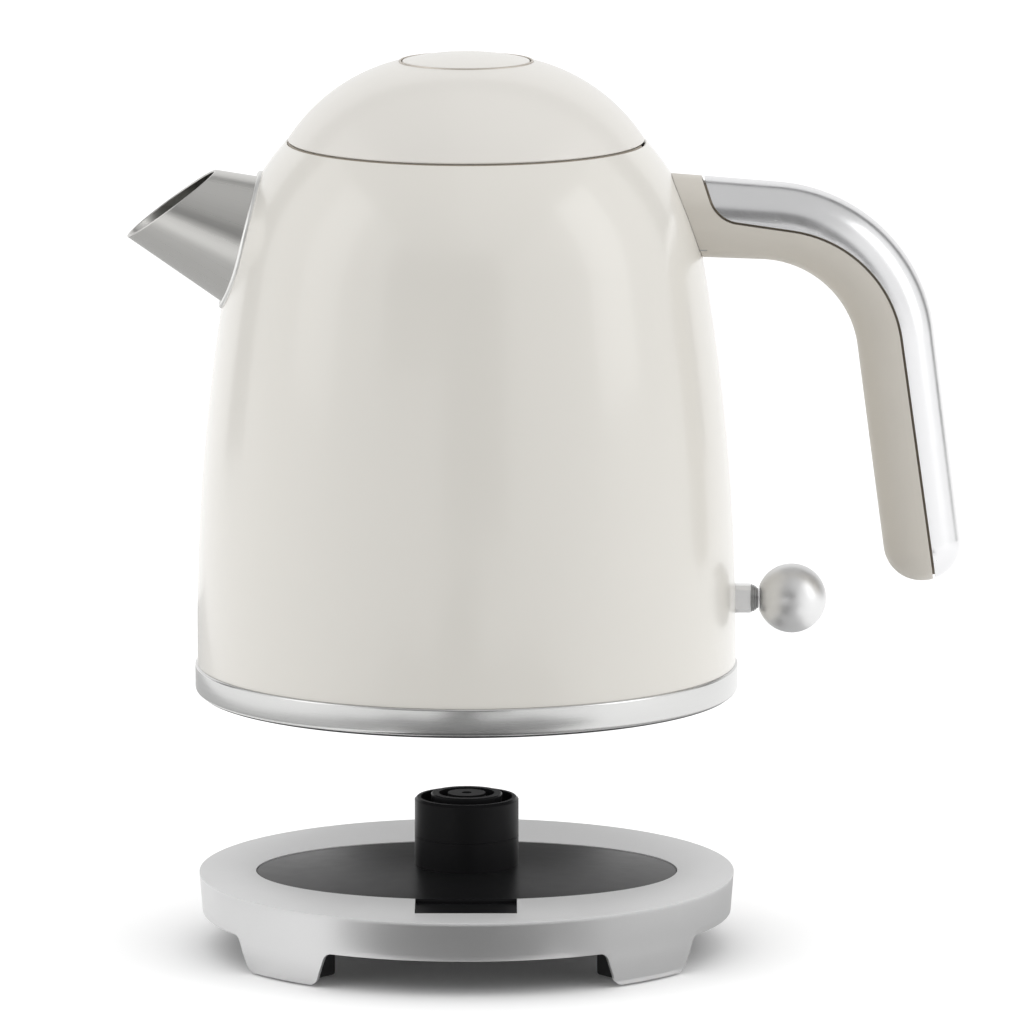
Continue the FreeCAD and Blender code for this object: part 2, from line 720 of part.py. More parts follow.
def make_heating_plate():
    outer = plate_rim_radius()
    inner = outer - PLATE_RIM_WALL
    top = PLATE_LEVEL + PLATE_THICKNESS
    plate = lathe(
        (0, PLATE_LEVEL),
        (outer, PLATE_LEVEL, PLATE_THICKNESS / 2),
        (outer, top + PLATE_RIM_HEIGHT),
        (inner, top + PLATE_RIM_HEIGHT),
        (inner, top, PLATE_THICKNESS / 2),
        (0, top),
    )
    bore = post(STEAM_TUBE_RADIUS + SEAT, PLATE_LEVEL - 1, top + 1, STEAM_TUBE_X, STEAM_TUBE_Y)
    return plate.cut(bore)


def make_plate_seal():
    inner = plate_rim_radius() + SEAT
    low = PLATE_LEVEL + PLATE_THICKNESS
    return ring(inner, inner + PLATE_SEAL_WIDTH, low, low + PLATE_RIM_HEIGHT)


def make_heat_spreader():
    return post(SPREADER_RADIUS, SPREADER_LOW, SPREADER_LOW + SPREADER_THICKNESS)


ELEMENT_LEVEL = SPREADER_LOW - SEAT - ELEMENT_TUBE_RADIUS
ELEMENT_FIRST_ANGLE = 90.0 + (360.0 - ELEMENT_SWEEP) / 2


def make_heating_element():
    centre = spot(ELEMENT_RING_RADIUS, ELEMENT_LEVEL)
    circle = Part.makeCircle(ELEMENT_TUBE_RADIUS, centre, Vector(0, 1, 0))
    tube = Part.Face(Part.Wire([circle])).revolve(Vector(0, 0, 0), Vector(0, 0, 1), ELEMENT_SWEEP)
    return turned(tube, ELEMENT_FIRST_ANGLE)


def make_element_terminals():
    end = ELEMENT_LEVEL - ELEMENT_TUBE_RADIUS - SEAT
    blade = post(TERMINAL_RADIUS, end - TERMINAL_LENGTH, end, ELEMENT_RING_RADIUS)
    first = turned(blade, ELEMENT_FIRST_ANGLE + TERMINAL_ANGLE)
    last = turned(blade, ELEMENT_FIRST_ANGLE + ELEMENT_SWEEP - TERMINAL_ANGLE)
    return Part.makeCompound([first, last])


def make_control_housing():
    low = SOCKET_TOP + SEAT
    high = BIMETAL_LOW - SEAT
    return lathe((0, low), (CONTROL_RADIUS, low, 1.0), (CONTROL_RADIUS, high, 1.0), (0, high))


def make_bimetal_discs():
    one = post(BIMETAL_RADIUS, BIMETAL_LOW, BIMETAL_LOW + BIMETAL_THICKNESS, BIMETAL_OFFSET)
    return Part.makeCompound(around(one, 2, 0.0))


def make_socket_cup():
    low = cover_underside(SOCKET_OUTER)
    return lathe(
        (SOCKET_RADIUS, low),
        (SOCKET_OUTER, low),
        (SOCKET_OUTER, SOCKET_TOP),
        (0, SOCKET_TOP),
        (0, SOCKET_CEILING),
        (SOCKET_RADIUS, SOCKET_CEILING),
    )


def groove_middle(groove):
    return (groove[0] + groove[1]) / 2


def make_socket_contacts():
    high = SOCKET_CEILING - SEAT
    low = high - CONTACT_REACH
    half = CONTACT_WALL / 2
    pieces = [post(PIN_HOLE_RADIUS - SOCKET_PLAY, low, high)]
    for groove in (OUTER_GROOVE, INNER_GROOVE):
        middle = groove_middle(groove)
        pieces.append(ring(middle - half, middle + half, low, high))
    return Part.makeCompound(pieces)


def make_steam_tube():
    tube = post(STEAM_TUBE_RADIUS, PLATE_LEVEL, STEAM_TUBE_TOP, STEAM_TUBE_X, STEAM_TUBE_Y)
    return tube.cut(post(STEAM_TUBE_BORE, PLATE_LEVEL - 1, STEAM_TUBE_TOP + 1, STEAM_TUBE_X, STEAM_TUBE_Y))


def make_switch_housing():
    width = (-SWITCH_BOX_HALF_WIDTH, SWITCH_BOX_HALF_WIDTH)
    box = brick((SWITCH_BOX_INNER_X, SWITCH_BOX_OUTER_X), width, (SWITCH_BOX_BOTTOM, SWITCH_BOX_TOP))
    slot_x = LEVER_PIVOT_X - LEVER_TAIL - 2 * RUN
    half = LEVER_SLOT_HALF_WIDTH
    slot_z = (SWITCH_BOX_BOTTOM - 1, SWITCH_SLOT_TOP)
    slot = brick((slot_x, SWITCH_BOX_OUTER_X + 1), (-half, half), slot_z)
    guide = post(PLUNGER_RADIUS + PIN_PLAY, SWITCH_SLOT_TOP - 1, SWITCH_BOX_TOP + 1, PLUNGER_X)
    steam = post(STEAM_TUBE_BORE, SWITCH_SLOT_TOP, SWITCH_BOX_TOP + 1, STEAM_TUBE_X, STEAM_TUBE_Y)
    start = spot(LEVER_PIVOT_X, LEVER_HEIGHT, -SWITCH_BOX_HALF_WIDTH - 1)
    end = spot(LEVER_PIVOT_X, LEVER_HEIGHT, SWITCH_BOX_HALF_WIDTH + 1)
    return box.cut([slot, guide, steam, rod(LEVER_PIN_RADIUS + PIN_PLAY, start, end)])


def make_lever_pin():
    start = spot(LEVER_PIVOT_X, LEVER_HEIGHT, -SWITCH_BOX_HALF_WIDTH)
    end = spot(LEVER_PIVOT_X, LEVER_HEIGHT, SWITCH_BOX_HALF_WIDTH)
    return rod(LEVER_PIN_RADIUS, start, end)


# Switch lever pieces


def make_switch_lever():
    half = LEVER_BAR_WIDTH / 2
    low = LEVER_HEIGHT - LEVER_BAR_HEIGHT / 2
    bar = brick((LEVER_PIVOT_X - LEVER_TAIL, LEVER_BAR_END), (-half, half), (low, low + LEVER_BAR_HEIGHT))
    long_edges = [edge for edge in bar.Edges if abs(edge.tangentAt(edge.FirstParameter).x) > 0.9]
    bar = bar.makeChamfer(LEVER_BAR_CHAMFER, long_edges)
    start = spot(LEVER_PIVOT_X, LEVER_HEIGHT, -LEVER_BAR_WIDTH)
    end = spot(LEVER_PIVOT_X, LEVER_HEIGHT, LEVER_BAR_WIDTH)
    return bar.cut(rod(LEVER_PIN_RADIUS + PIN_PLAY, start, end))


def lever_turned(*corners):
    """Solid of revolution about the lever's own axis, from (x, radius) corners."""
    face = Part.Face(rounded([(x, LEVER_HEIGHT + radius) for x, radius in corners]))
    return face.revolve(spot(0, LEVER_HEIGHT), Vector(1, 0, 0), 360)


COLLAR_START = LEVER_BAR_END + SEAT
COLLAR_END = COLLAR_START + COLLAR_LENGTH


def make_lever_collar():
    step = COLLAR_LENGTH / 2
    neck = (COLLAR_BIG_RADIUS + COLLAR_SMALL_RADIUS) / 2
    return lever_turned(
        (COLLAR_START, 0),
        (COLLAR_START, COLLAR_BIG_RADIUS),
        (COLLAR_START + step, COLLAR_BIG_RADIUS),
        (COLLAR_START + step, neck),
        (COLLAR_END, COLLAR_SMALL_RADIUS),
        (COLLAR_END, 0),
    )


def make_lever_ball():
    ball = Part.makeSphere(BALL_DIAMETER / 2, spot(BALL_CENTRE_X, LEVER_HEIGHT))
    inside = BALL_DIAMETER
    face = brick((0, COLLAR_END + SEAT), (-inside, inside), (0, LEVER_HEIGHT + inside))
    return ball.cut(face)


def make_switch_plunger():
    low = LEVER_HEIGHT + LEVER_BAR_HEIGHT / 2 + RUN
    return post(PLUNGER_RADIUS, low, low + PLUNGER_LENGTH, PLUNGER_X)


# Handle pieces


def beside_body(place, *rounding):
    """A handle place as (x, z), with its rounding if it has one."""
    return (BODY_RADIUS + place[0], SEAM_HEIGHT - place[1], *rounding)


HANDLE_ROOT_X = beside_body(HANDLE_ROOT_TOP)[0]
HANDLE_SCREW_X = [BODY_RADIUS + reach for reach in HANDLE_SCREW_REACH]


def handle_blank(inset):
    """The whole handle before it is parted, with every outside face moved inwards by inset."""
    outline = rounded(
        [
            beside_body(HANDLE_ROOT_TOP),
            beside_body(HANDLE_BACK_CORNER, HANDLE_BACK_RADIUS),
            beside_body(HANDLE_TIP_BACK, HANDLE_TIP_RADIUS),
            beside_body(HANDLE_TIP_FRONT, HANDLE_TIP_RADIUS),
            beside_body(HANDLE_FRONT_CORNER, HANDLE_FRONT_RADIUS),
            beside_body(HANDLE_ROOT_UNDER),
        ]
    )
    if inset:
        outline = outline.makeOffset2D(-inset)
    half = HANDLE_WIDTH / 2 - inset
    blank = slab(outline, half)
    long_edges = []
    for edge in blank.Edges:
        ends = [vertex.Point for vertex in edge.Vertexes]
        flat = all(abs(abs(point.y) - half) < 1e-6 for point in ends)
        at_root = all(point.x < HANDLE_ROOT_X + inset + 1e-3 for point in ends)
        same_side = ends[0].y * ends[-1].y > 0
        if flat and same_side and not at_root:
            long_edges.append(edge)
    return blank.makeFillet(HANDLE_ROUNDING - inset, long_edges)


def strap_region(grow):
    """The outer side of the handle's parting line."""
    far = 2 * STRAP_END[0]
    outline = rounded(
        [
            beside_body(STRAP_START),
            beside_body(STRAP_NECK, STRAP_NECK_RADIUS),
            beside_body(STRAP_BEND, STRAP_BEND_RADIUS),
            beside_body(STRAP_END),
            beside_body((far, STRAP_END[1])),
            beside_body((far, STRAP_START[1])),
        ]
    )
    if grow:
        outline = outline.makeOffset2D(grow)
    return slab(outline, HANDLE_WIDTH)


def bracket_shape(grow):
    """Plate against the vessel with a tongue into the handle, with every free face moved outwards by grow."""
    sheet = body_layer(-SEAT - BRACKET_THICKNESS - grow, -SEAT)
    half = BRACKET_HALF_WIDTH + grow
    window = brick((0, BODY_RADIUS), (-half, half), (BRACKET_BOTTOM - grow, BRACKET_TOP + grow))
    half = TONGUE_HALF_WIDTH + grow
    tongue_z = (BRACKET_BOTTOM - grow, TONGUE_TOP + grow)
    tongue = brick((HANDLE_ROOT_X, TONGUE_END + grow), (-half, half), tongue_z)
    return sheet.common(window).fuse(tongue.cut(body_block(-SEAT))).removeSplitter()


def handle_screw_places():
    """Each screw's place along the handle and the height of the underside there."""
    root_x, root_z = beside_body(HANDLE_ROOT_UNDER)
    corner_x, corner_z = beside_body(HANDLE_FRONT_CORNER)
    slope = (corner_z - root_z) / (corner_x - root_x)
    return [(x, root_z + slope * (x - root_x)) for x in HANDLE_SCREW_X]


def make_handle_bracket():
    bracket = bracket_shape(0)
    drills = [post(SCREW_RADIUS + PIN_PLAY, low, TONGUE_TOP, x) for x, low in handle_screw_places()]
    return bracket.cut(drills)


def make_handle_grip():
    grip = handle_blank(0).cut(strap_region(STRAP_GROOVE))
    grip = grip.cut(body_block(-SEAT)).cut(bracket_shape(SEAT))
    for x, low in handle_screw_places():
        sink = post(SCREW_HEAD_RADIUS + SEAT, low - SCREW_HEAD_HEIGHT, low + SCREW_HEAD_HEIGHT, x)
        grip = grip.cut(sink.fuse(post(SCREW_RADIUS + SEAT, low, TONGUE_TOP, x)))
    return grip


def make_handle_strap():
    region = strap_region(0)
    return handle_blank(0).common(region).cut(handle_blank(STRAP_WALL))


def make_handle_screws():
    screws = []
    for x, low in handle_screw_places():
        screws.append(screw(low + RUN, low + SCREW_HEAD_HEIGHT - SEAT, TONGUE_TOP - 1.0, x, 0))
    return Part.makeCompound(screws)


# Neck and hinge pieces


def make_neck_ring():
    low = NECK_TOP - NECK_DEPTH
    neck = lathe(
        (LEDGE_INNER_RADIUS, low),
        (NECK_OUTER, low),
        (NECK_OUTER, NECK_TOP),
        (NECK_INNER, NECK_TOP),
        (NECK_INNER, LEDGE_TOP),
        (LEDGE_INNER_RADIUS, LEDGE_TOP),
    )
    half = sqrt(lid_edge.x**2 - HINGE_X**2) + 1.0
    return neck.cut(brick((HINGE_X - 10, NECK_OUTER + 1), (-half, half), (LEDGE_TOP, NECK_TOP + 1)))


STEM_FRONT = HINGE_X - 5.5
STEM_BACK = HINGE_X - 2.0


def knuckle(half_width, start=None):
    low = -half_width if start is None else start
    return rod(KNUCKLE_RADIUS, spot(HINGE_X, HINGE_Z, low), spot(HINGE_X, HINGE_Z, half_width))


def hinge_bore():
    long = 2 * CHEEK_OUTER
    return rod(HINGE_PIN_RADIUS + PIN_PLAY, spot(HINGE_X, HINGE_Z, -long), spot(HINGE_X, HINGE_Z, long))


def make_hinge_bracket():
    foot = LEDGE_TOP + SEAT
    stem = prism(
        EAR_HALF_WIDTH,
        (STEM_FRONT, foot),
        (STEM_BACK, foot),
        (STEM_BACK, HINGE_Z - KNUCKLE_RADIUS - 1.0),
        (HINGE_X + KNUCKLE_RADIUS / 2, HINGE_Z - KNUCKLE_RADIUS / 2),
        (HINGE_X, HINGE_Z + KNUCKLE_RADIUS / 2),
        (STEM_FRONT, HINGE_Z - KNUCKLE_RADIUS),
    )
    ear = stem.fuse(knuckle(EAR_HALF_WIDTH)).removeSplitter().cut(hinge_bore())
    return ear.cut(lid_layer(0, LID_WALL + RUN))


def make_hinge_pin():
    reach = CHEEK_OUTER + 1.0
    return rod(HINGE_PIN_RADIUS, spot(HINGE_X, HINGE_Z, -reach), spot(HINGE_X, HINGE_Z, reach))


# Lid pieces

ARM_FRONT = HINGE_X - 15.0
ARM_BACK = HINGE_X - 8.0
CHEEK_FRONT = HINGE_X - 9.8
ARM_LOW = LINER_TOP + SEAT
ARM_HIGH = ARM_LOW + 1.4
LID_SCREW_X = HINGE_X - 12.4
LID_SCREW_Y = (-4.0, 4.0)
LID_SCREW_RADIUS = 1.3
LID_SCREW_HEAD = 2.2


def lid_screw_holes():
    radius = LID_SCREW_RADIUS + PIN_PLAY
    return [post(radius, LINER_TOP - 2 * LINER_WALL, LID_TOP, LID_SCREW_X, y) for y in LID_SCREW_Y]


def make_lid_dome():
    dome = lid_layer(0, LID_WALL)
    dome = dome.makeFillet(RIM_ROUNDING, circles(dome, lid_edge.x, lid_edge.z))
    skirt = ring(SKIRT_INNER, SKIRT_OUTER, LINER_TOP + SEAT, LID_TOP).common(lid_block(LID_WALL / 2))
    notch = CHEEK_OUTER + 2 * RUN
    back = brick((0, SKIRT_OUTER + 1), (-notch, notch), (LINER_TOP, LID_TOP)).common(lid_block(LID_WALL))
    half = LATCH_NOSE_HALF_WIDTH + RUN
    window = brick((-SKIRT_OUTER - 1, 0), (-half, half), (LINER_TOP, LATCH_HIGH + RUN))
    skirt = skirt.cut(back).cut(window)
    dome = dome.fuse(skirt).removeSplitter()
    return dome.cut(post(BUTTON_HOLE, LID_TOP - CROWN_CURVE / 2, LID_TOP + 1))


def make_lid_liner():
    pan_foot = PAN_RADIUS - PAN_SLOPE
    low = LINER_TOP - LINER_WALL
    floor = PAN_FLOOR - LINER_WALL
    liner = lathe(
        (0, floor),
        (pan_foot, floor, 1.5),
        (PAN_RADIUS, low, 1.0),
        (LINER_FLANGE_RADIUS, low),
        (LINER_FLANGE_RADIUS, LINER_TOP),
        (PAN_RADIUS - LINER_WALL, LINER_TOP, 1.0),
        (pan_foot - LINER_WALL, PAN_FLOOR, 1.5),
        (0, PAN_FLOOR),
    )
    guide = post(GUIDE_RADIUS, PAN_FLOOR - LINER_WALL / 2, GUIDE_TOP)
    liner = liner.fuse(guide).removeSplitter()
    liner = liner.cut(post(BUTTON_STEM_RADIUS + PIN_PLAY, PAN_FLOOR, GUIDE_TOP + 1))
    notch_front = STEM_FRONT - 4 * RUN
    notch = brick((notch_front, BODY_RADIUS), (-HINGE_NOTCH, HINGE_NOTCH), (floor, LID_TOP))
    return liner.cut(notch).cut(lid_screw_holes())


def make_lid_seal():
    return ring(SEAL_INNER_RADIUS, SEAL_OUTER_RADIUS, LEDGE_TOP + RUN, LINER_TOP - LINER_WALL - SEAT)


def make_button_ring():
    inner = BUTTON_RADIUS + RUN
    outer = inner + BUTTON_RING_WIDTH
    high = crown_height(inner) + BUTTON_RING_RISE
    low = high - 2 * LID_WALL
    edge = 0.35 * BUTTON_RING_WIDTH
    return lathe((inner, low), (outer, low), (outer, high, edge), (inner, high, edge))


def make_lid_hinge_arm():
    base = brick((ARM_FRONT, ARM_BACK), (-CHEEK_OUTER, CHEEK_OUTER), (ARM_LOW, ARM_HIGH))
    cheek = prism(
        CHEEK_OUTER,
        (CHEEK_FRONT, ARM_LOW),
        (ARM_BACK + KNUCKLE_RADIUS, ARM_LOW),
        (HINGE_X, HINGE_Z - KNUCKLE_RADIUS),
        (HINGE_X, HINGE_Z + KNUCKLE_RADIUS),
        (CHEEK_FRONT, ARM_HIGH + KNUCKLE_RADIUS / 2),
    )
    cheek = cheek.fuse(knuckle(CHEEK_OUTER))
    gap = brick((ARM_FRONT, HINGE_X + 10), (-CHEEK_INNER, CHEEK_INNER), (ARM_LOW - 1, LID_TOP))
    arm = base.fuse(cheek.cut(gap)).removeSplitter().cut(hinge_bore())
    return arm.cut(lid_screw_holes()).cut(lid_layer(0, LID_WALL + RUN))


def make_lid_screws():
    screws = []
    for y in LID_SCREW_Y:
        head = post(LID_SCREW_HEAD, ARM_HIGH, ARM_HIGH + 1.2, LID_SCREW_X, y)
        shank = post(LID_SCREW_RADIUS, LINER_TOP - LINER_WALL + SEAT, ARM_HIGH, LID_SCREW_X, y)
        screws.append(head.fuse(shank).removeSplitter())
    return Part.makeCompound(screws)


def leg_face(offset):
    """X less Z on the 45 degree faces where the button drives the latch."""
    return LATCH_WEDGE_FOOT - LATCH_HIGH - offset * sqrt(2)


def make_lid_button():
    cap = lid_layer(0, BUTTON_THICKNESS).common(post(BUTTON_RADIUS, 0, LID_TOP + 1))
    cap = cap.makeFillet(RIM_ROUNDING, circles(cap, BUTTON_RADIUS, crown_height(BUTTON_RADIUS)))
    under = crown_height(0, BUTTON_THICKNESS) + BUTTON_THICKNESS / 2
    stem_low = PAN_FLOOR + BUTTON_TRAVEL + RUN
    stem = post(BUTTON_STEM_RADIUS, stem_low, under)
    inner = LATCH_WEDGE_TOP - 1.0
    foot = LATCH_HIGH + BUTTON_TRAVEL + RUN
    outer = leg_face(WEDGE_GAP) + foot
    top = crown_height(-outer, BUTTON_THICKNESS) + BUTTON_THICKNESS / 2
    leg = prism(
        LATCH_NOSE_HALF_WIDTH - RUN,
        (outer, foot),
        (inner, inner - leg_face(WEDGE_GAP)),
        (inner, top),
        (outer, top),
    )
    return cap.fuse([stem, leg]).removeSplitter()


def make_button_spring():
    inner = BUTTON_STEM_RADIUS + RUN
    high = crown_height(GUIDE_RADIUS, BUTTON_THICKNESS) - SEAT
    return ring(inner, GUIDE_RADIUS - SEAT, GUIDE_TOP + SEAT, high)


def make_lid_latch():
    tip = -(NECK_INNER - RUN)
    slot = GUIDE_RADIUS + RUN
    back = slot + 4.0
    width = (-LATCH_HALF_WIDTH, LATCH_HALF_WIDTH)
    shoulder = -(SKIRT_INNER - 2 * LATCH_TRAVEL)
    plate = brick((shoulder, back), width, (LATCH_LOW, LATCH_HIGH))
    nose_width = (-LATCH_NOSE_HALF_WIDTH, LATCH_NOSE_HALF_WIDTH)
    nose = brick((tip, shoulder), nose_width, (LATCH_LOW, LATCH_HIGH))
    nose = nose.common(post(NECK_INNER - RUN, LATCH_LOW, LATCH_HIGH))
    climb = LATCH_WEDGE_TOP - LATCH_WEDGE_FOOT
    wedge = prism(
        LATCH_NOSE_HALF_WIDTH - RUN,
        (LATCH_WEDGE_FOOT, LATCH_HIGH),
        (LATCH_WEDGE_TOP, LATCH_HIGH),
        (LATCH_WEDGE_TOP, LATCH_HIGH + climb),
    )
    slot_low = -slot - LATCH_TRAVEL
    window = brick((slot_low, slot), (-slot, slot), (LATCH_LOW - 1, LATCH_HIGH + 1))
    return plate.fuse([nose, wedge]).removeSplitter().cut(window)


# Power base pieces


def oval(half_length, half_depth, height):
    ellipse = Part.Ellipse(Vector(0, 0, height), half_length, half_depth)
    return Part.Wire([ellipse.toShape()])


def oval_slab(grow, low, high):
    wire = oval(DISH_HALF_LENGTH + grow, DISH_HALF_DEPTH + grow, low)
    return Part.Face(wire).extrude(Vector(0, 0, high - low))


def oval_edges(shape, grow, height):
    """The edges of a shape that follow the dish's oval at one height."""
    found = []
    for edge in shape.Edges:
        if edge.Degenerated:
            continue
        off = 0.0
        for place in edge.discretize(9):
            along = place.x / (DISH_HALF_LENGTH + grow)
            across = place.y / (DISH_HALF_DEPTH + grow)
            off = max(off, abs(hypot(along, across) - 1), abs(place.z - height))
        if off < 1e-2:
            found.append(edge)
    return found


def tongue_patch(grow, low, high):
    half = TONGUE_PATCH_HALF_WIDTH + grow
    return brick((-half, half), (-TONGUE_PATCH_REACH - grow, -DISH_HALF_DEPTH / 2), (low, high))


def leg_outline(grow):
    """Prism of one leg's tapered front outline, along its own radius on the X axis."""
    foot = LEG_FOOT_HALF_WIDTH + grow
    root = LEG_ROOT_HALF_WIDTH + grow
    wide = root + 2 * LEG_FILLET
    top = RING_PLATE_LOW
    wire = rounded(
        [
            (-foot, LEG_BOTTOM, LEG_CORNER),
            (foot, LEG_BOTTOM, LEG_CORNER),
            (root, RING_BOTTOM, LEG_FILLET),
            (wide, RING_BOTTOM),
            (wide, top),
            (-wide, top),
            (-wide, RING_BOTTOM),
            (-root, RING_BOTTOM, LEG_FILLET),
        ]
    )
    face = Part.Face(wire)
    face.rotate(Vector(0, 0, 0), Vector(0, 0, 1), 90)
    return face.extrude(Vector(2 * RING_BOTTOM_RADIUS, 0, 0))


def make_leg():
    shoulder = RING_BOTTOM - SEAT
    tenon = RING_INNER_RADIUS - SEAT
    top = RING_PLATE_LOW - SEAT
    side = lathe(
        (LEG_INNER_RADIUS, LEG_BOTTOM, LEG_EDGE_ROUNDING),
        (LEG_FOOT_RADIUS, LEG_BOTTOM, LEG_EDGE_ROUNDING),
        (RING_BOTTOM_RADIUS - LEG_SHOULDER_INSET, shoulder),
        (tenon, shoulder),
        (tenon, top),
        (LEG_INNER_RADIUS, top),
    )
    recess = post(PAD_RADIUS + SEAT, 0, PAD_THICKNESS + SEAT, PAD_CIRCLE)
    return side.common(leg_outline(0)).cut(recess)


def make_base_legs():
    dish_room = oval_slab(DISH_FLANGE_WIDTH + RUN, UNDERPLATE_LOW, RING_TOP)
    legs = around(make_leg(), LEG_COUNT, LEG_FIRST_ANGLE)
    return Part.makeCompound([leg.cut(dish_room) for leg in legs])


def make_base_ring():
    inner_top = RING_TOP_RADIUS - RING_WALL
    inner_bottom = RING_BOTTOM_RADIUS - RING_FOOT_WIDTH
    start = DISH_HALF_DEPTH / 2
    shell = lathe(
        (start, RING_TOP),
        (RING_TOP_RADIUS, RING_TOP, RING_TOP_ROUNDING),
        (RING_BOTTOM_RADIUS, RING_BOTTOM, RING_BOTTOM_ROUNDING),
        (inner_bottom, RING_BOTTOM),
        (inner_top, RING_PLATE_LOW),
        (start, RING_PLATE_LOW),
    )
    boss = post(BOSS_RADIUS, UNDERPLATE_TOP + SEAT, RING_PLATE_LOW + RING_WALL / 2, BASE_SCREW_CIRCLE)
    bosses = base_screw_set(boss)
    body = shell.fuse(bosses).removeSplitter()
    body = body.cut(oval_slab(SEAT, RING_PLATE_LOW - 1, RING_TOP + 1))
    body = body.makeFillet(DISH_EDGE_ROUNDING, oval_edges(body, SEAT, RING_TOP))
    body = body.cut(tongue_patch(SEAT, RING_PLATE_LOW - 1, RING_TOP + 1))
    body = body.cut(base_screw_set(post(SCREW_RADIUS + PIN_PLAY, 0, RING_PLATE_LOW, BASE_SCREW_CIRCLE)))
    return body.cut(gland_rod(GLAND_RADIUS + SEAT, 0, RING_BOTTOM_RADIUS + 1))


def base_screw_set(shape):
    """A copy on each side of the base, clear of the cord gland at the back."""
    return [turned(shape, angle) for angle in (0.0, 110.0, 180.0, 250.0)]


def dish_dome(inset):
    """The dish's low dome over its oval, moved in and down by inset."""
    length = DISH_HALF_LENGTH - inset
    edge = DISH_EDGE - inset
    curve = dish_curve(length)
    ball = Part.makeSphere(curve, spot(0, edge + DISH_RISE - curve))
    cap = ball.common(post(length, edge, edge + DISH_RISE + 1))
    squeeze = FreeCAD.Matrix()
    squeeze.scale(1, (DISH_HALF_DEPTH - inset) / length, 1)
    return cap.transformGeometry(squeeze)


def make_base_dish():
    top = dish_dome(0)
    hollow = dish_dome(DISH_WALL)
    roof_low = DISH_EDGE - DISH_WALL
    rim = oval_slab(0, FLANGE_LOW, DISH_EDGE)
    flange = oval_slab(DISH_FLANGE_WIDTH, FLANGE_LOW, FLANGE_TOP)
    patch = tongue_patch(0, FLANGE_LOW, DISH_EDGE - TONGUE_PATCH_DROP)
    dish = rim.fuse(top).removeSplitter()
    dish = dish.makeFillet(DISH_EDGE_ROUNDING, oval_edges(dish, 0, DISH_EDGE))
    dish = dish.fuse([flange, patch]).removeSplitter()
    well = oval_slab(-DISH_WALL, FLANGE_LOW - 1, roof_low)
    dish = dish.cut(well.fuse(hollow))
    plinth = post(POST_RADIUS, dish_ceiling(POST_RADIUS) + DISH_WALL / 2, PLINTH_TOP)
    dish = dish.fuse(plinth).removeSplitter()
    return dish.cut(post(NECK_RADIUS + SEAT, FLANGE_LOW, PLINTH_TOP + 1))


def make_base_connector():
    low = POST_SEAT - POST_FLANGE_THICKNESS
    collar_top = POST_TOP - COLLAR_DROP
    body = lathe(
        (0, low),
        (POST_FLANGE_RADIUS, low),
        (POST_FLANGE_RADIUS, POST_SEAT),
        (NECK_RADIUS, POST_SEAT),
        (NECK_RADIUS, PLINTH_TOP + SEAT),
        (POST_RADIUS, PLINTH_TOP + SEAT),
        (POST_RADIUS, collar_top - COLLAR_CHAMFER),
        (POST_RADIUS - COLLAR_CHAMFER, collar_top),
        (groove_middle(OUTER_GROOVE), collar_top),
        (OUTER_GROOVE[0], collar_top),
        (OUTER_GROOVE[0], POST_TOP, CORE_ROUNDING),
        (0, POST_TOP),
    )
    for groove in (OUTER_GROOVE, INNER_GROOVE):
        body = body.cut(ring(groove[0], groove[1], GROOVE_FLOOR, POST_TOP + 1))
    return body.cut(post(PIN_HOLE_RADIUS, GROOVE_FLOOR, POST_TOP + 1))


def make_connector_contacts():
    low = GROOVE_FLOOR + SEAT
    high = low + CONTACT_FLOOR
    pieces = [post(PIN_HOLE_RADIUS - SEAT, low, high)]
    for groove in (OUTER_GROOVE, INNER_GROOVE):
        pieces.append(ring(groove[0] + SEAT, groove[1] - SEAT, low, high))
    return Part.makeCompound(pieces)


def make_base_underplate():
    plate = post(UNDERPLATE_RADIUS, UNDERPLATE_LOW, UNDERPLATE_TOP)
    plate = plate.cut(around(leg_outline(SEAT), LEG_COUNT, LEG_FIRST_ANGLE))
    plate = plate.fuse(post(LEG_INNER_RADIUS - SEAT, UNDERPLATE_LOW, UNDERPLATE_TOP)).removeSplitter()
    seat = UNDERPLATE_LOW + UNDERPLATE_THICKNESS / 2
    head = post(SCREW_HEAD_RADIUS + SEAT, UNDERPLATE_LOW - 1, seat, BASE_SCREW_CIRCLE)
    bore = post(SCREW_RADIUS + SEAT, UNDERPLATE_LOW, UNDERPLATE_TOP + 1, BASE_SCREW_CIRCLE)
    return plate.cut(base_screw_set(head.fuse(bore)))


def make_base_screws():
    seat = UNDERPLATE_LOW + UNDERPLATE_THICKNESS / 2
    one = screw(UNDERPLATE_LOW, seat, RING_PLATE_LOW - 2.0, BASE_SCREW_CIRCLE, 0)
    return Part.makeCompound(base_screw_set(one))


def make_foot_pads():
    pad = lathe((0, 0), (PAD_RADIUS, 0, 0.5), (PAD_RADIUS, PAD_THICKNESS), (0, PAD_THICKNESS))
    pad.translate(Vector(PAD_CIRCLE, 0, 0))
    return Part.makeCompound(around(pad, LEG_COUNT, LEG_FIRST_ANGLE))


def gland_rod(radius, start, end):
    return rod(radius, spot(0, GLAND_HEIGHT, start), spot(0, GLAND_HEIGHT, end))


def make_cord_gland():
    end = RING_BOTTOM_RADIUS + GLAND_STANDOUT
    flange_end = sqrt(RING_INNER_RADIUS**2 - GLAND_FLANGE_RADIUS**2)
    start = flange_end - GLAND_FLANGE_THICKNESS
    room = brick((-BODY_RADIUS, BODY_RADIUS), (0, end), (UNDERPLATE_TOP + SEAT, RING_PLATE_LOW - SEAT))
    flange = gland_rod(GLAND_FLANGE_RADIUS, start, flange_end).common(room)
    gland = gland_rod(GLAND_RADIUS, start, end).fuse(flange).removeSplitter()
    return gland.cut(gland_rod(GLAND_BORE, start - 1, end + 1))


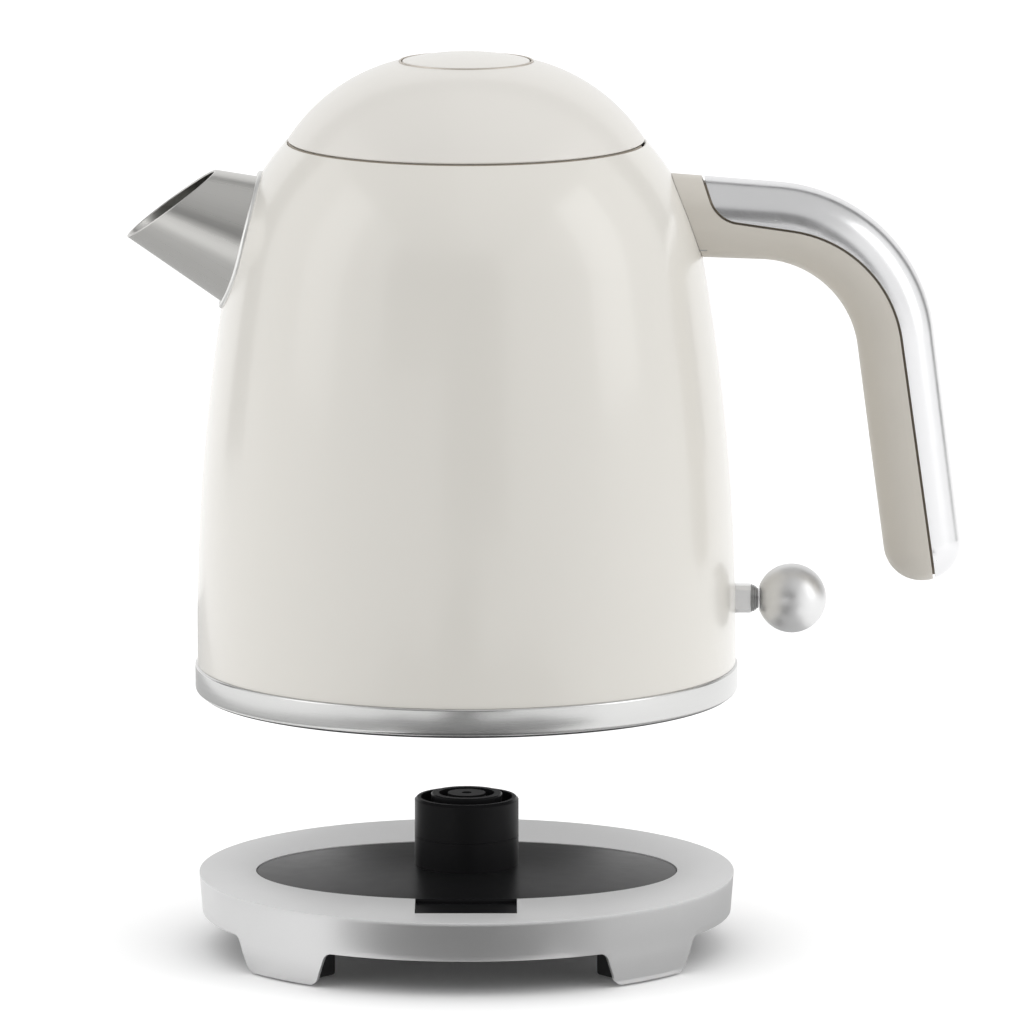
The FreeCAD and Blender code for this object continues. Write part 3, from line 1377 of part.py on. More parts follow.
def make_terminal_block():
    half_x, half_y = TERMINAL_BLOCK_HALF
    high = POST_SEAT - POST_FLANGE_THICKNESS - SEAT
    return brick((-half_x, half_x), (-half_y, half_y), (UNDERPLATE_TOP + SEAT, high))


# Every piece under the name of its node

KETTLE_PIECES = {
    "vessel_shell": make_vessel_shell,
    "neck_ring": make_neck_ring,
    "base_band": make_base_band,
    "bottom_cover": make_bottom_cover,
    "cover_screws": make_cover_screws,
    "cover_brackets": make_cover_brackets,
    "heating_plate": make_heating_plate,
    "plate_seal": make_plate_seal,
    "heat_spreader": make_heat_spreader,
    "heating_element": make_heating_element,
    "element_terminals": make_element_terminals,
    "control_housing": make_control_housing,
    "bimetal_discs": make_bimetal_discs,
    "socket_cup": make_socket_cup,
    "socket_contacts": make_socket_contacts,
    "steam_tube": make_steam_tube,
    "switch_housing": make_switch_housing,
    "lever_pin": make_lever_pin,
    "spout": make_spout,
    "spout_bead": make_spout_bead,
    "spout_strainer": make_spout_strainer,
    "handle_bracket": make_handle_bracket,
    "handle_grip": make_handle_grip,
    "handle_strap": make_handle_strap,
    "handle_screws": make_handle_screws,
    "hinge_bracket": make_hinge_bracket,
    "hinge_pin": make_hinge_pin,
    "lid_dome": make_lid_dome,
    "lid_liner": make_lid_liner,
    "lid_seal": make_lid_seal,
    "button_ring": make_button_ring,
    "lid_hinge_arm": make_lid_hinge_arm,
    "lid_screws": make_lid_screws,
    "button_spring": make_button_spring,
    "lid_button": make_lid_button,
    "lid_latch": make_lid_latch,
    "switch_lever": make_switch_lever,
    "lever_collar": make_lever_collar,
    "lever_ball": make_lever_ball,
    "switch_plunger": make_switch_plunger,
}

BASE_PIECES = {
    "base_ring": make_base_ring,
    "base_legs": make_base_legs,
    "base_dish": make_base_dish,
    "base_connector": make_base_connector,
    "connector_contacts": make_connector_contacts,
    "base_underplate": make_base_underplate,
    "base_screws": make_base_screws,
    "foot_pads": make_foot_pads,
    "cord_gland": make_cord_gland,
    "terminal_block": make_terminal_block,
}


def export(name, shape):
    solids = len(shape.Solids)
    valid = all(solid.isValid() for solid in shape.Solids)
    box = shape.BoundBox
    height = f"z {box.ZMin:.1f} to {box.ZMax:.1f}"
    print(f"{name}: {solids} solids, valid {valid}, {height}, volume {shape.Volume:.0f}")
    shape.exportStep(f"parts/{name}.step")


os.makedirs("parts", exist_ok=True)
for name, make in KETTLE_PIECES.items():
    piece = make().copy()
    piece.translate(Vector(0, 0, FOOT_LEVEL))
    export(name, piece)
for name, make in BASE_PIECES.items():
    export(name, make())
print(f"kettle foot at {FOOT_LEVEL:.2f}, lid turn {degrees(lid_turn):.1f}, seam turn {degrees(seam_turn):.1f}")
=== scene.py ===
"""Looks of the electric kettle and its power base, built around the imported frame."""

import json
import logging
import math
from collections.abc import Iterable, Sequence
from dataclasses import dataclass, field
from enum import Enum

import bmesh
import bpy
from mathutils import Matrix, Vector


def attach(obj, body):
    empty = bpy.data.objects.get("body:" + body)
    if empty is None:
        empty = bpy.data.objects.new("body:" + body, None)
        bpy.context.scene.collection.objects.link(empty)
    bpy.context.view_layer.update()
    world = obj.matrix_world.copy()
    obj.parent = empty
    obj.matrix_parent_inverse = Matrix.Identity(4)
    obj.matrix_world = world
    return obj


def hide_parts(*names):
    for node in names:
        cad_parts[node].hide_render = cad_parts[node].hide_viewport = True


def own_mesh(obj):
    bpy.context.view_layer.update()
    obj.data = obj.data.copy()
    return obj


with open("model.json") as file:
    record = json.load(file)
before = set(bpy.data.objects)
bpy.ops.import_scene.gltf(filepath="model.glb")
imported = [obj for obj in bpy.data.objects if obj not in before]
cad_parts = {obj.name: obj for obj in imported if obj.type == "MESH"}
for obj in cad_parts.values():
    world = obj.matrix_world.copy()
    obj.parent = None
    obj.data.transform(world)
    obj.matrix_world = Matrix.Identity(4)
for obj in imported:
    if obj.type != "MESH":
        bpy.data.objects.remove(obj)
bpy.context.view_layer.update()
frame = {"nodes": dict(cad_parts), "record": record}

LOG = logging.getLogger("kettle")
MM = 0.001
TOUCH = 1e-3
ON_PLANE = 1e-5
Colour = tuple[float, float, float]
Corner = tuple[float, ...]


class Body(Enum):
    """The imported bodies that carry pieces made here."""

    KETTLE = "kettle"
    BASE = "power_base"
    LID = "lid"
    LEVER = "switch_lever"


class Slot(Enum):
    """The material slots of the record."""

    ENAMEL = "enamel"
    SPOUT = "spout_steel"
    BAND = "band_silver"
    CHROME = "chrome"
    GRIP = "grip"
    GLOSS = "black_gloss"
    SILVER = "base_silver"
    DARK = "dark_plastic"
    LINER = "lid_plastic"
    SILICONE = "silicone"
    RUBBER = "foot_rubber"
    STEEL = "plain_steel"
    ALUMINIUM = "heater_aluminium"
    BRASS = "contact_brass"


class Grain(Enum):
    """How the marks of a metal finish run."""

    EVEN = "even"
    ROUND = "round"
    RADIAL = "radial"


# Finishes


def linear(colour: Colour, gain: float = 1.0) -> tuple[float, float, float, float]:
    """Turn a display colour into the light it stands for.

    Args:
        colour: Red, green and blue from 0 to 255, as read on a screen.
        gain: Factor on the light, for a lighter or darker shade.

    Returns:
        Linear red, green, blue and an opacity of one.
    """
    parts = []
    for value in colour:
        part = value / 255.0
        part = part / 12.92 if part <= 0.04045 else ((part + 0.055) / 1.055) ** 2.4
        parts.append(min(1.0, part * gain))
    return (parts[0], parts[1], parts[2], 1.0)


class Wiring:
    """The node tree of one material while it is wired."""

    def __init__(self, name: str) -> None:
        """Start a material with an empty surface shader."""
        self.material = bpy.data.materials.new(name)
        self.material.use_nodes = True
        self.tree = self.material.node_tree
        self.tree.nodes.clear()
        self.surface = self.tree.nodes.new("ShaderNodeBsdfPrincipled")
        output = self.tree.nodes.new("ShaderNodeOutputMaterial")
        self.tree.links.new(self.surface.outputs["BSDF"], output.inputs["Surface"])
        place = self.tree.nodes.new("ShaderNodeTexCoord")
        self.place = place.outputs["Object"]

    def set(self, **values: float | Sequence[float]) -> None:
        """Set constants on the surface shader's own sockets, by their names in lower case."""
        for name, value in values.items():
            self.surface.inputs[name.replace("_", " ").title().replace("Ior", "IOR")].default_value = value

    def mapped(
        self, scale: Sequence[float], turn: Sequence[float] = (0, 0, 0), shift: Sequence[float] = (0, 0, 0)
    ) -> bpy.types.NodeSocket:
        """Scale, turn and move the object's own coordinates.

        Args:
            scale: Factor along each axis, after the turn.
            turn: Angles about X, Y and Z in radians.
            shift: Place of the pattern's centre in metres.

        Returns:
            The mapped coordinates.
        """
        centre = self.tree.nodes.new("ShaderNodeMapping")
        centre.inputs["Location"].default_value = [-value for value in shift]
        self.tree.links.new(self.place, centre.inputs["Vector"])
        swing = self.tree.nodes.new("ShaderNodeMapping")
        swing.inputs["Rotation"].default_value = turn
        self.tree.links.new(centre.outputs["Vector"], swing.inputs["Vector"])
        stretch = self.tree.nodes.new("ShaderNodeMapping")
        stretch.inputs["Scale"].default_value = scale
        self.tree.links.new(swing.outputs["Vector"], stretch.inputs["Vector"])
        return stretch.outputs["Vector"]

    def noise(
        self, scale: float, detail: float = 2.0, at: bpy.types.NodeSocket | None = None, rough: float = 0.5
    ) -> bpy.types.NodeSocket:
        """A cloudy pattern.

        Args:
            scale: Clouds per metre, or per unit of the mapped coordinates.
            detail: Octaves of finer clouds.
            at: Coordinates, or none for the object's own.
            rough: Weight of the finer clouds.

        Returns:
            The pattern from 0 to 1.
        """
        cloud = self.tree.nodes.new("ShaderNodeTexNoise")
        cloud.inputs["Scale"].default_value = scale
        cloud.inputs["Detail"].default_value = detail
        cloud.inputs["Roughness"].default_value = rough
        self.tree.links.new(at or self.place, cloud.inputs["Vector"])
        return cloud.outputs["Fac"]

    def shades(self, pattern: bpy.types.NodeSocket, colour: Colour, spread: float) -> None:
        """Colour the surface with slightly darker and lighter shades of one colour.

        Args:
            pattern: Where the shades lie, from 0 to 1.
            colour: The middle shade as a display colour.
            spread: Share by which the shades differ from the middle.
        """
        ramp = self.tree.nodes.new("ShaderNodeValToRGB")
        ramp.color_ramp.elements[0].position = 0.1
        ramp.color_ramp.elements[0].color = linear(colour, 1 - spread)
        ramp.color_ramp.elements[1].position = 0.9
        ramp.color_ramp.elements[1].color = linear(colour, 1 + spread)
        self.tree.links.new(pattern, ramp.inputs["Fac"])
        self.tree.links.new(ramp.outputs["Color"], self.surface.inputs["Base Color"])

    def gloss(self, pattern: bpy.types.NodeSocket, low: float, high: float) -> None:
        """Let the roughness follow a pattern.

        Args:
            pattern: Where it is rougher, from 0 to 1.
            low: Roughness where the pattern is low.
            high: Roughness where the pattern is high.
        """
        span = self.tree.nodes.new("ShaderNodeMapRange")
        span.inputs["From Min"].default_value = 0.1
        span.inputs["From Max"].default_value = 0.9
        span.inputs["To Min"].default_value = low
        span.inputs["To Max"].default_value = high
        self.tree.links.new(pattern, span.inputs["Value"])
        self.tree.links.new(span.outputs["Result"], self.surface.inputs["Roughness"])

    def bump(self, pattern: bpy.types.NodeSocket, strength: float, depth: float) -> None:
        """Raise the surface by a pattern.

        Args:
            pattern: Height from 0 to 1.
            strength: Share of the effect.
            depth: Height of the marks in metres.
        """
        relief = self.tree.nodes.new("ShaderNodeBump")
        relief.inputs["Strength"].default_value = strength
        relief.inputs["Distance"].default_value = depth
        self.tree.links.new(pattern, relief.inputs["Height"])
        self.tree.links.new(relief.outputs["Normal"], self.surface.inputs["Normal"])


@dataclass(frozen=True)
class Finish:
    """A surface finish: a name, its record slot, a colour and a roughness."""

    name: str
    slot: Slot
    colour: Colour
    roughness: float

    def wire(self, wiring: Wiring) -> None:
        """Wire the finish's own pattern; each kind of finish has one."""
        raise NotImplementedError

    def material(self) -> bpy.types.Material:
        """Give the finish's material, making it on the first call.

        Returns:
            The material of this finish.
        """
        made = bpy.data.materials.get(self.name)
        if made is None:
            wiring = Wiring(self.name)
            self.wire(wiring)
            made = wiring.material
        return made


@dataclass(frozen=True)
class Paint(Finish):
    """Stoved paint under a clear coat, with a faint orange peel."""

    coat: float = 0.6
    coat_roughness: float = 0.12
    peel: float = 0.01
    clouds: float = 14.0
    spread: float = 0.001
    gloss_clouds: float = 30.0
    gloss_spread: float = 0.03
    peel_marks: float = 420.0
    peel_depth: float = 0.00001

    def wire(self, wiring: Wiring) -> None:
        """Wire cloudy shades, uneven gloss and the peel."""
        wiring.set(coat_weight=self.coat, coat_roughness=self.coat_roughness, ior=1.5)
        wiring.shades(wiring.noise(self.clouds, 6.0, None, 0.6), self.colour, self.spread)
        low, high = self.roughness * (1 - self.gloss_spread), self.roughness * (1 + self.gloss_spread)
        wiring.gloss(wiring.noise(self.gloss_clouds, 5.0), low, high)
        wiring.bump(wiring.noise(self.peel_marks, 0.0), self.peel, self.peel_depth)


@dataclass(frozen=True)
class Metal(Finish):
    """Bare or plated metal with marks from its grinding."""

    grain: Grain = Grain.EVEN
    marks: float = 900.0
    spread: float = 0.05
    relief: float = 0.1
    centre: tuple[float, float, float] = (0.0, 0.0, 0.0)
    lean: float = 0.0
    round_stretch: float = 9.0
    gloss_range: tuple[float, float] = (0.8, 1.25)
    mark_depth: float = 0.00002

    def pattern(self, wiring: Wiring) -> bpy.types.NodeSocket:
        """The grinding marks, run as the grain says.

        Args:
            wiring: The material being wired.

        Returns:
            The marks from 0 to 1.
        """
        if self.grain is Grain.ROUND:
            stretch = (self.round_stretch, self.round_stretch, self.marks)
            return wiring.noise(1.0, 5.0, wiring.mapped(stretch), 0.6)
        if self.grain is Grain.RADIAL:
            turned = wiring.mapped((1.0, 1.0, 1.0), (0.0, self.lean, 0.0), self.centre)
            angle = wiring.tree.nodes.new("ShaderNodeTexGradient")
            angle.gradient_type = "RADIAL"
            wiring.tree.links.new(turned, angle.inputs["Vector"])
            streak = wiring.tree.nodes.new("ShaderNodeTexNoise")
            streak.noise_dimensions = "1D"
            streak.inputs["Scale"].default_value = self.marks
            streak.inputs["Detail"].default_value = 4.0
            streak.inputs["Roughness"].default_value = 0.6
            wiring.tree.links.new(angle.outputs["Fac"], streak.inputs["W"])
            return streak.outputs["Fac"]
        return wiring.noise(self.marks, 4.0, None, 0.6)

    def wire(self, wiring: Wiring) -> None:
        """Wire the marks into the shade, the gloss and the relief."""
        wiring.set(metallic=1.0)
        marks = self.pattern(wiring)
        wiring.shades(marks, self.colour, self.spread)
        wiring.gloss(marks, *(self.roughness * share for share in self.gloss_range))
        wiring.bump(marks, self.relief, self.mark_depth)


@dataclass(frozen=True)
class MetallicPaint(Finish):
    """Silver lacquer with fine flakes."""

    metallic: float = 0.9
    # less metallic on the flat top, which paints the top lighter than the wall
    metallic_on_top: float = 0.08
    top: float = 0.0238
    top_edge: float = 1.0 * MM
    flakes: float = 5200.0
    spread: float = 0.03
    gloss_clouds: float = 90.0
    gloss_range: tuple[float, float] = (0.9, 1.1)
    relief: float = 0.06
    flake_depth: float = 0.00002

    def paint_lighter_top(self, wiring: Wiring) -> None:
        """Make the flat top less metallic than the wall, so that it renders lighter: painted light on the
        top.

        Args:
            wiring: The material being wired.
        """
        parts = wiring.tree.nodes.new("ShaderNodeSeparateXYZ")
        wiring.tree.links.new(wiring.place, parts.inputs["Vector"])
        span = wiring.tree.nodes.new("ShaderNodeMapRange")
        span.inputs["From Min"].default_value = self.top - self.top_edge
        span.inputs["From Max"].default_value = self.top
        span.inputs["To Min"].default_value = self.metallic
        span.inputs["To Max"].default_value = self.metallic_on_top
        wiring.tree.links.new(parts.outputs["Z"], span.inputs["Value"])
        wiring.tree.links.new(span.outputs["Result"], wiring.surface.inputs["Metallic"])

    def wire(self, wiring: Wiring) -> None:
        """Wire the flakes into the shade and the gloss, with a soft peel."""
        self.paint_lighter_top(wiring)
        flakes = wiring.noise(self.flakes, 1.0)
        wiring.shades(flakes, self.colour, self.spread)
        gloss = (self.roughness * share for share in self.gloss_range)
        wiring.gloss(wiring.noise(self.gloss_clouds, 3.0), *gloss)
        wiring.bump(flakes, self.relief, self.flake_depth)


@dataclass(frozen=True)
class Moulded(Finish):
    """Moulded plastic, rubber or silicone with the grain of its mould."""

    grain: float = 1800.0
    relief: float = 0.1
    specular: float = 0.5
    spread: float = 0.03
    clouds: float = 60.0
    gloss_clouds: float = 160.0
    gloss_range: tuple[float, float] = (0.9, 1.1)
    grain_depth: float = 0.00004

    def wire(self, wiring: Wiring) -> None:
        """Wire cloudy shades, uneven gloss and the mould's grain."""
        wiring.set(specular_ior_level=self.specular)
        wiring.shades(wiring.noise(self.clouds, 4.0), self.colour, self.spread)
        gloss = (self.roughness * share for share in self.gloss_range)
        wiring.gloss(wiring.noise(self.gloss_clouds, 3.0), *gloss)
        wiring.bump(wiring.noise(self.grain, 2.0), self.relief, self.grain_depth)


class Palette:
    """The finishes of this kettle."""

    body = Paint("enamel_paint", Slot.ENAMEL, (224, 221, 214), 0.28)
    lid = Paint("enamel_lid_paint", Slot.ENAMEL, (224, 221, 215), 0.36, coat=0.4, coat_roughness=0.16)
    spout = Metal(
        "spout_brushed_steel",
        Slot.SPOUT,
        (205, 204, 201),
        0.3,
        grain=Grain.RADIAL,
        marks=220.0,
        centre=(-0.0752, 0.0, 0.2284),
        lean=math.radians(68.0),
        spread=0.025,
        relief=0.04,
    )
    band = Metal("band_brushed_silver", Slot.BAND, (208, 208, 207), 0.22, grain=Grain.ROUND, marks=2600.0)
    chrome = Metal("satin_chrome", Slot.CHROME, (230, 230, 231), 0.24, marks=120.0, spread=0.02, relief=0.004)
    # a lighter copy of the chrome: painted highlight that makes the bar render white
    bar = Metal("bright_bar", Slot.CHROME, (250, 250, 250), 0.45, marks=120.0, spread=0.02, relief=0.004)
    ball = Metal("satin_ball", Slot.CHROME, (228, 228, 228), 0.4, marks=120.0, spread=0.02, relief=0.004)
    bead = Metal("satin_bead", Slot.CHROME, (236, 236, 234), 0.4, marks=160.0, spread=0.02, relief=0.004)
    button_ring = Metal(
        "satin_button_ring",
        Slot.CHROME,
        (214, 207, 198),
        0.45,
        marks=160.0,
        spread=0.02,
        relief=0.004,
    )
    collar = Metal("turned_collar", Slot.CHROME, (168, 168, 168), 0.32, marks=2400.0)
    grip = Moulded("grip_plastic", Slot.GRIP, (206, 201, 192), 0.42, grain=2600.0)
    gloss = Moulded(
        "black_satin_plastic",
        Slot.GLOSS,
        (24, 24, 25),
        0.3,
        grain=900.0,
        relief=0.01,
        specular=0.08,
    )
    silver = MetallicPaint("silver_lacquer", Slot.SILVER, (215, 215, 215), 0.36)
    dark = Moulded("dark_plastic_grain", Slot.DARK, (38, 38, 40), 0.5)
    # warm grey that paints the shade in the lid seam and in the handle groove
    shade_fill = Moulded("seam_shade_fill", Slot.LINER, (150, 140, 126), 0.5)
    liner = Moulded("lid_liner_plastic", Slot.LINER, (206, 203, 196), 0.45)
    silicone = Moulded("clear_grey_silicone", Slot.SILICONE, (176, 176, 172), 0.5, relief=0.05)
    rubber = Moulded("foot_rubber_grain", Slot.RUBBER, (34, 34, 35), 0.7, grain=1200.0)
    steel = Metal("rolled_steel", Slot.STEEL, (186, 186, 184), 0.3)
    aluminium = Metal("cast_aluminium", Slot.ALUMINIUM, (190, 190, 192), 0.45, marks=500.0, relief=0.25)
    brass = Metal("pressed_brass", Slot.BRASS, (206, 172, 98), 0.28)

    @classmethod
    def by_slot(cls) -> dict[str, Finish]:
        """Give the finish of each record slot.

        Returns:
            Slot name to finish, with the body paint for the enamel.
        """
        finishes = [value for value in vars(cls).values() if isinstance(value, Finish)]
        found = {finish.slot.value: finish for finish in finishes}
        found[Slot.ENAMEL.value] = cls.body
        found[Slot.CHROME.value] = cls.chrome
        return found


# Mesh work


class Blank:
    """A mesh being worked, in millimetres."""

    def __init__(self) -> None:
        """Start with an empty mesh."""
        self.mesh = bmesh.new()

    def trace(self, start: tuple[float, float], *moves: tuple[float, float]) -> None:
        """Draw an open line in the upright XZ plane.

        Args:
            start: First point as (x, z).
            moves: Points to go straight to.
        """
        tip = self.mesh.verts.new((start[0], 0, start[1]))
        for move in moves:
            end = self.mesh.verts.new((move[0], 0, move[1]))
            self.mesh.edges.new((tip, end))
            tip = end

    def outline(self, *corners: Corner, segments: int = 5) -> None:
        """Draw a closed line in the upright XZ plane.

        Args:
            corners: Corners as (x, z), with a rounding as a third number where one is rounded.
            segments: Steps in each rounding.
        """
        points = [self.mesh.verts.new((corner[0], 0, corner[1])) for corner in corners]
        for first, second in zip(points, points[1:] + points[:1]):
            self.mesh.edges.new((first, second))
        for point, corner in zip(points, corners):
            if len(corner) < 3:
                continue
            sides = [(edge.other_vert(point).co - point.co).normalized() for edge in point.link_edges]
            half = sides[0].angle(sides[1]) / 2
            bmesh.ops.bevel(
                self.mesh,
                geom=[point],
                offset=corner[2] / math.tan(half),
                offset_type="OFFSET",
                segments=segments,
                profile=0.5,
                affect="VERTICES",
                material=-1,
                clamp_overlap=False,
            )

    def turn(self, steps: int, axis: Vector | None = None, centre: Vector | None = None) -> None:
        """Spin everything drawn so far once round an axis.

        Args:
            steps: Facets round the axis.
            axis: Direction of the axis, upright if none.
            centre: Point on the axis, the origin if none.
        """
        bmesh.ops.spin(
            self.mesh,
            geom=self.mesh.verts[:] + self.mesh.edges[:],
            cent=centre or Vector(),
            axis=axis or Vector((0, 0, 1)),
            angle=math.tau,
            steps=steps,
            use_merge=True,
        )
        self.close_up()

    def close_up(self, reach: float = 1e-4) -> None:
        """Merge doubled points and face everything outwards."""
        bmesh.ops.remove_doubles(self.mesh, verts=self.mesh.verts, dist=reach)
        bmesh.ops.recalc_face_normals(self.mesh, faces=self.mesh.faces)

    def slice(self, places: Iterable[float], direction: Vector) -> None:
        """Cut the mesh by parallel planes without parting it.

        Args:
            places: Distance of each plane from the origin.
            direction: What the planes are square to.
        """
        for place in places:
            everything = self.mesh.verts[:] + self.mesh.edges[:] + self.mesh.faces[:]
            bmesh.ops.bisect_plane(
                self.mesh, geom=everything, dist=ON_PLANE, plane_co=direction * place, plane_no=direction
            )

    def piece(
        self,
        name: str,
        body: Body,
        finish: Finish,
        stands_for: Sequence[str] = (),
        lift: float = 0.0,
        sharp: float = 35.0,
    ) -> bpy.types.Object:
        """Turn the mesh into a finished piece of the object.

        Args:
            name: Name of the piece.
            body: The body that it moves with.
            finish: What it is dressed in.
            stands_for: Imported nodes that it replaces.
            lift: Height to raise it by, in millimetres.
            sharp: Angle in degrees past which an edge shows.

        Returns:
            The finished object.
        """
        bmesh.ops.translate(self.mesh, vec=(0, 0, lift), verts=self.mesh.verts)
        bmesh.ops.scale(self.mesh, vec=(MM, MM, MM), verts=self.mesh.verts)
        data = bpy.data.meshes.new(name)
        self.mesh.to_mesh(data)
        self.mesh.free()
        data.shade_smooth()
        data.set_sharp_from_angle(angle=math.radians(sharp))
        made = bpy.data.objects.new(name, data)
        bpy.context.scene.collection.objects.link(made)
        made.data.materials.append(finish.material())
        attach(made, body.value)
        if stands_for:
            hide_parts(*stands_for)
        LOG.info("built %s with %d faces", name, len(data.polygons))
        return made


# Pieces of the kettle

KETTLE_FOOT = 82.35


@dataclass
class KettleBody:
    """The outline of the painted body, with heights from the kettle's foot."""

    radius: float = 85.2
    straight_top: float = 20.0
    side_curve: float = 660.0
    seam_radius: float = 56.7
    seam_height: float = 175.0
    shoulder_drop: float = 35.0

    def __post_init__(self) -> None:
        """Work out where the shoulder's arc starts and what it turns about."""
        shoulder = self.seam_height - self.shoulder_drop
        turn = math.asin((shoulder - self.straight_top) / self.side_curve)
        middle = self.radius - self.side_curve
        start = Vector((middle + self.side_curve * math.cos(turn), shoulder))
        inward = Vector((-math.cos(turn), -math.sin(turn)))
        chord = Vector((self.seam_radius, self.seam_height)) - start
        self.shoulder_curve = chord.dot(chord) / (2 * chord.dot(inward))
        self.shoulder_centre = start + inward * self.shoulder_curve
        self.shoulder_start = shoulder

    def radius_at(self, height: float) -> float:
        """The body's radius at a height."""
        if height <= self.straight_top:
            return self.radius
        if height <= self.shoulder_start:
            climb = height - self.straight_top
            return self.radius - self.side_curve + math.sqrt(self.side_curve**2 - climb**2)
        rise = height - self.shoulder_centre.y
        return self.shoulder_centre.x + math.sqrt(self.shoulder_curve**2 - rise**2)


@dataclass
class FootBand:
    """The silver band round the kettle's foot, with a rounded lip under the paint."""

    radius: float = 85.9
    inner_radius: float = 81.9
    bottom: float = 0.4
    top: float = 9.26
    lower_rounding: float = 1.4
    lip_rounding: float = 0.72
    steps: int = 256

    def build(self) -> None:
        """Turn the band from its section."""
        blank = Blank()
        blank.outline(
            (self.inner_radius, self.bottom),
            (self.radius, self.bottom, self.lower_rounding),
            (self.radius, self.top, self.lip_rounding),
            (self.inner_radius, self.top),
        )
        blank.turn(self.steps)
        blank.piece("foot_band", Body.KETTLE, Palette.band, ["base_band"], KETTLE_FOOT)


@dataclass
class SeamLedge:
    """A ledge at the bottom of the seam under the lid, in a warm grey that paints the seam's shade."""

    body: KettleBody
    depth: float = 0.7
    bottom: float = 1.25
    low: float = 0.06
    high: float = 0.74
    open_angle: float = 10.0
    steps: int = 200

    def build(self) -> None:
        """Sweep the ledge round the seam, leaving the hinge's side open."""
        seam = Vector((self.body.seam_radius, self.body.seam_height))
        outward = (seam - self.body.shoulder_centre).normalized()
        along = Vector((-outward.y, outward.x))
        places = (
            (self.low, self.depth),
            (self.high, self.depth),
            (self.high, self.bottom),
            (self.low, self.bottom),
        )
        blank = Blank()
        blank.outline(*(tuple(seam + along * step - outward * sink) for step, sink in places))
        face = bmesh.ops.contextual_create(blank.mesh, geom=blank.mesh.edges[:])["faces"]
        turn = Matrix.Rotation(math.radians(self.open_angle), 3, "Z")
        bmesh.ops.rotate(blank.mesh, cent=(0, 0, 0), matrix=turn, verts=blank.mesh.verts)
        bmesh.ops.spin(
            blank.mesh,
            geom=face,
            cent=(0, 0, 0),
            axis=(0, 0, 1),
            angle=math.tau - 2 * math.radians(self.open_angle),
            steps=self.steps,
        )
        blank.close_up()
        blank.piece("seam_ledge", Body.KETTLE, Palette.shade_fill, lift=KETTLE_FOOT)


@dataclass
class SpoutBead:
    """The round bead where the spout meets the body."""

    body: KettleBody
    root_height: float = 145.2
    root_radius: float = 20.0
    tilt: float = 22.0
    taper: float = 12.8
    out: float = 0.9
    thickness: float = 1.0
    reach: float = 130.0
    halvings: int = 40
    steps: int = 120

    def axis(self) -> Vector:
        """The direction that the spout points in."""
        return Vector((-math.cos(math.radians(self.tilt)), 0, math.sin(math.radians(self.tilt))))

    def root(self) -> Vector:
        """Where the spout's axis leaves the body."""
        return Vector((-self.body.radius_at(self.root_height), 0, self.root_height))

    def apex(self, grow: float = 0.0) -> Vector:
        """Tip of the spout's cone.

        Args:
            grow: How far the cone's wall is moved outwards.

        Returns:
            The tip's place.
        """
        slope = math.radians(self.taper)
        return self.root() + self.axis() * (self.root_radius / math.tan(slope) + grow / math.sin(slope))

    def meet(self, start: Vector, along: Vector) -> Vector:
        """Follow a line from the spout's tip to the body.

        Args:
            start: Where the line starts, outside the body.
            along: Direction of the line, towards the body.

        Returns:
            The first point on the body's skin.
        """
        near, far = 0.0, self.reach
        for _ in range(self.halvings):
            middle = (near + far) / 2
            place = start + along * middle
            outside = math.hypot(place.x, place.y) > self.body.radius_at(min(place.z, self.body.seam_height))
            near, far = (middle, far) if outside else (near, middle)
        return start + along * near

    def build(self) -> None:
        """Lay a round tube along the line where the spout's cone meets the body."""
        apex = self.apex(self.out)
        aside = Vector((0, 1, 0))
        upward = self.axis().cross(aside)
        slope = math.radians(self.taper)
        curve = bpy.data.curves.new("bead_line", "CURVE")
        curve.dimensions = "3D"
        curve.bevel_depth = self.thickness
        curve.bevel_resolution = 5
        spline = curve.splines.new("POLY")
        spline.points.add(self.steps - 1)
        spline.use_cyclic_u = True
        for index, point in enumerate(spline.points):
            angle = math.tau * index / self.steps
            across = aside * math.cos(angle) + upward * math.sin(angle)
            along = (across * math.sin(slope) - self.axis() * math.cos(slope)).normalized()
            point.co = (*self.meet(apex, along), 1.0)
        line = bpy.data.objects.new("bead_line", curve)
        tube = bpy.data.meshes.new_from_object(line)
        blank = Blank()
        blank.mesh.from_mesh(tube)
        blank.close_up()
        bpy.data.objects.remove(line)
        blank.piece("spout_bead_round", Body.KETTLE, Palette.bead, ["spout_bead"], KETTLE_FOOT)


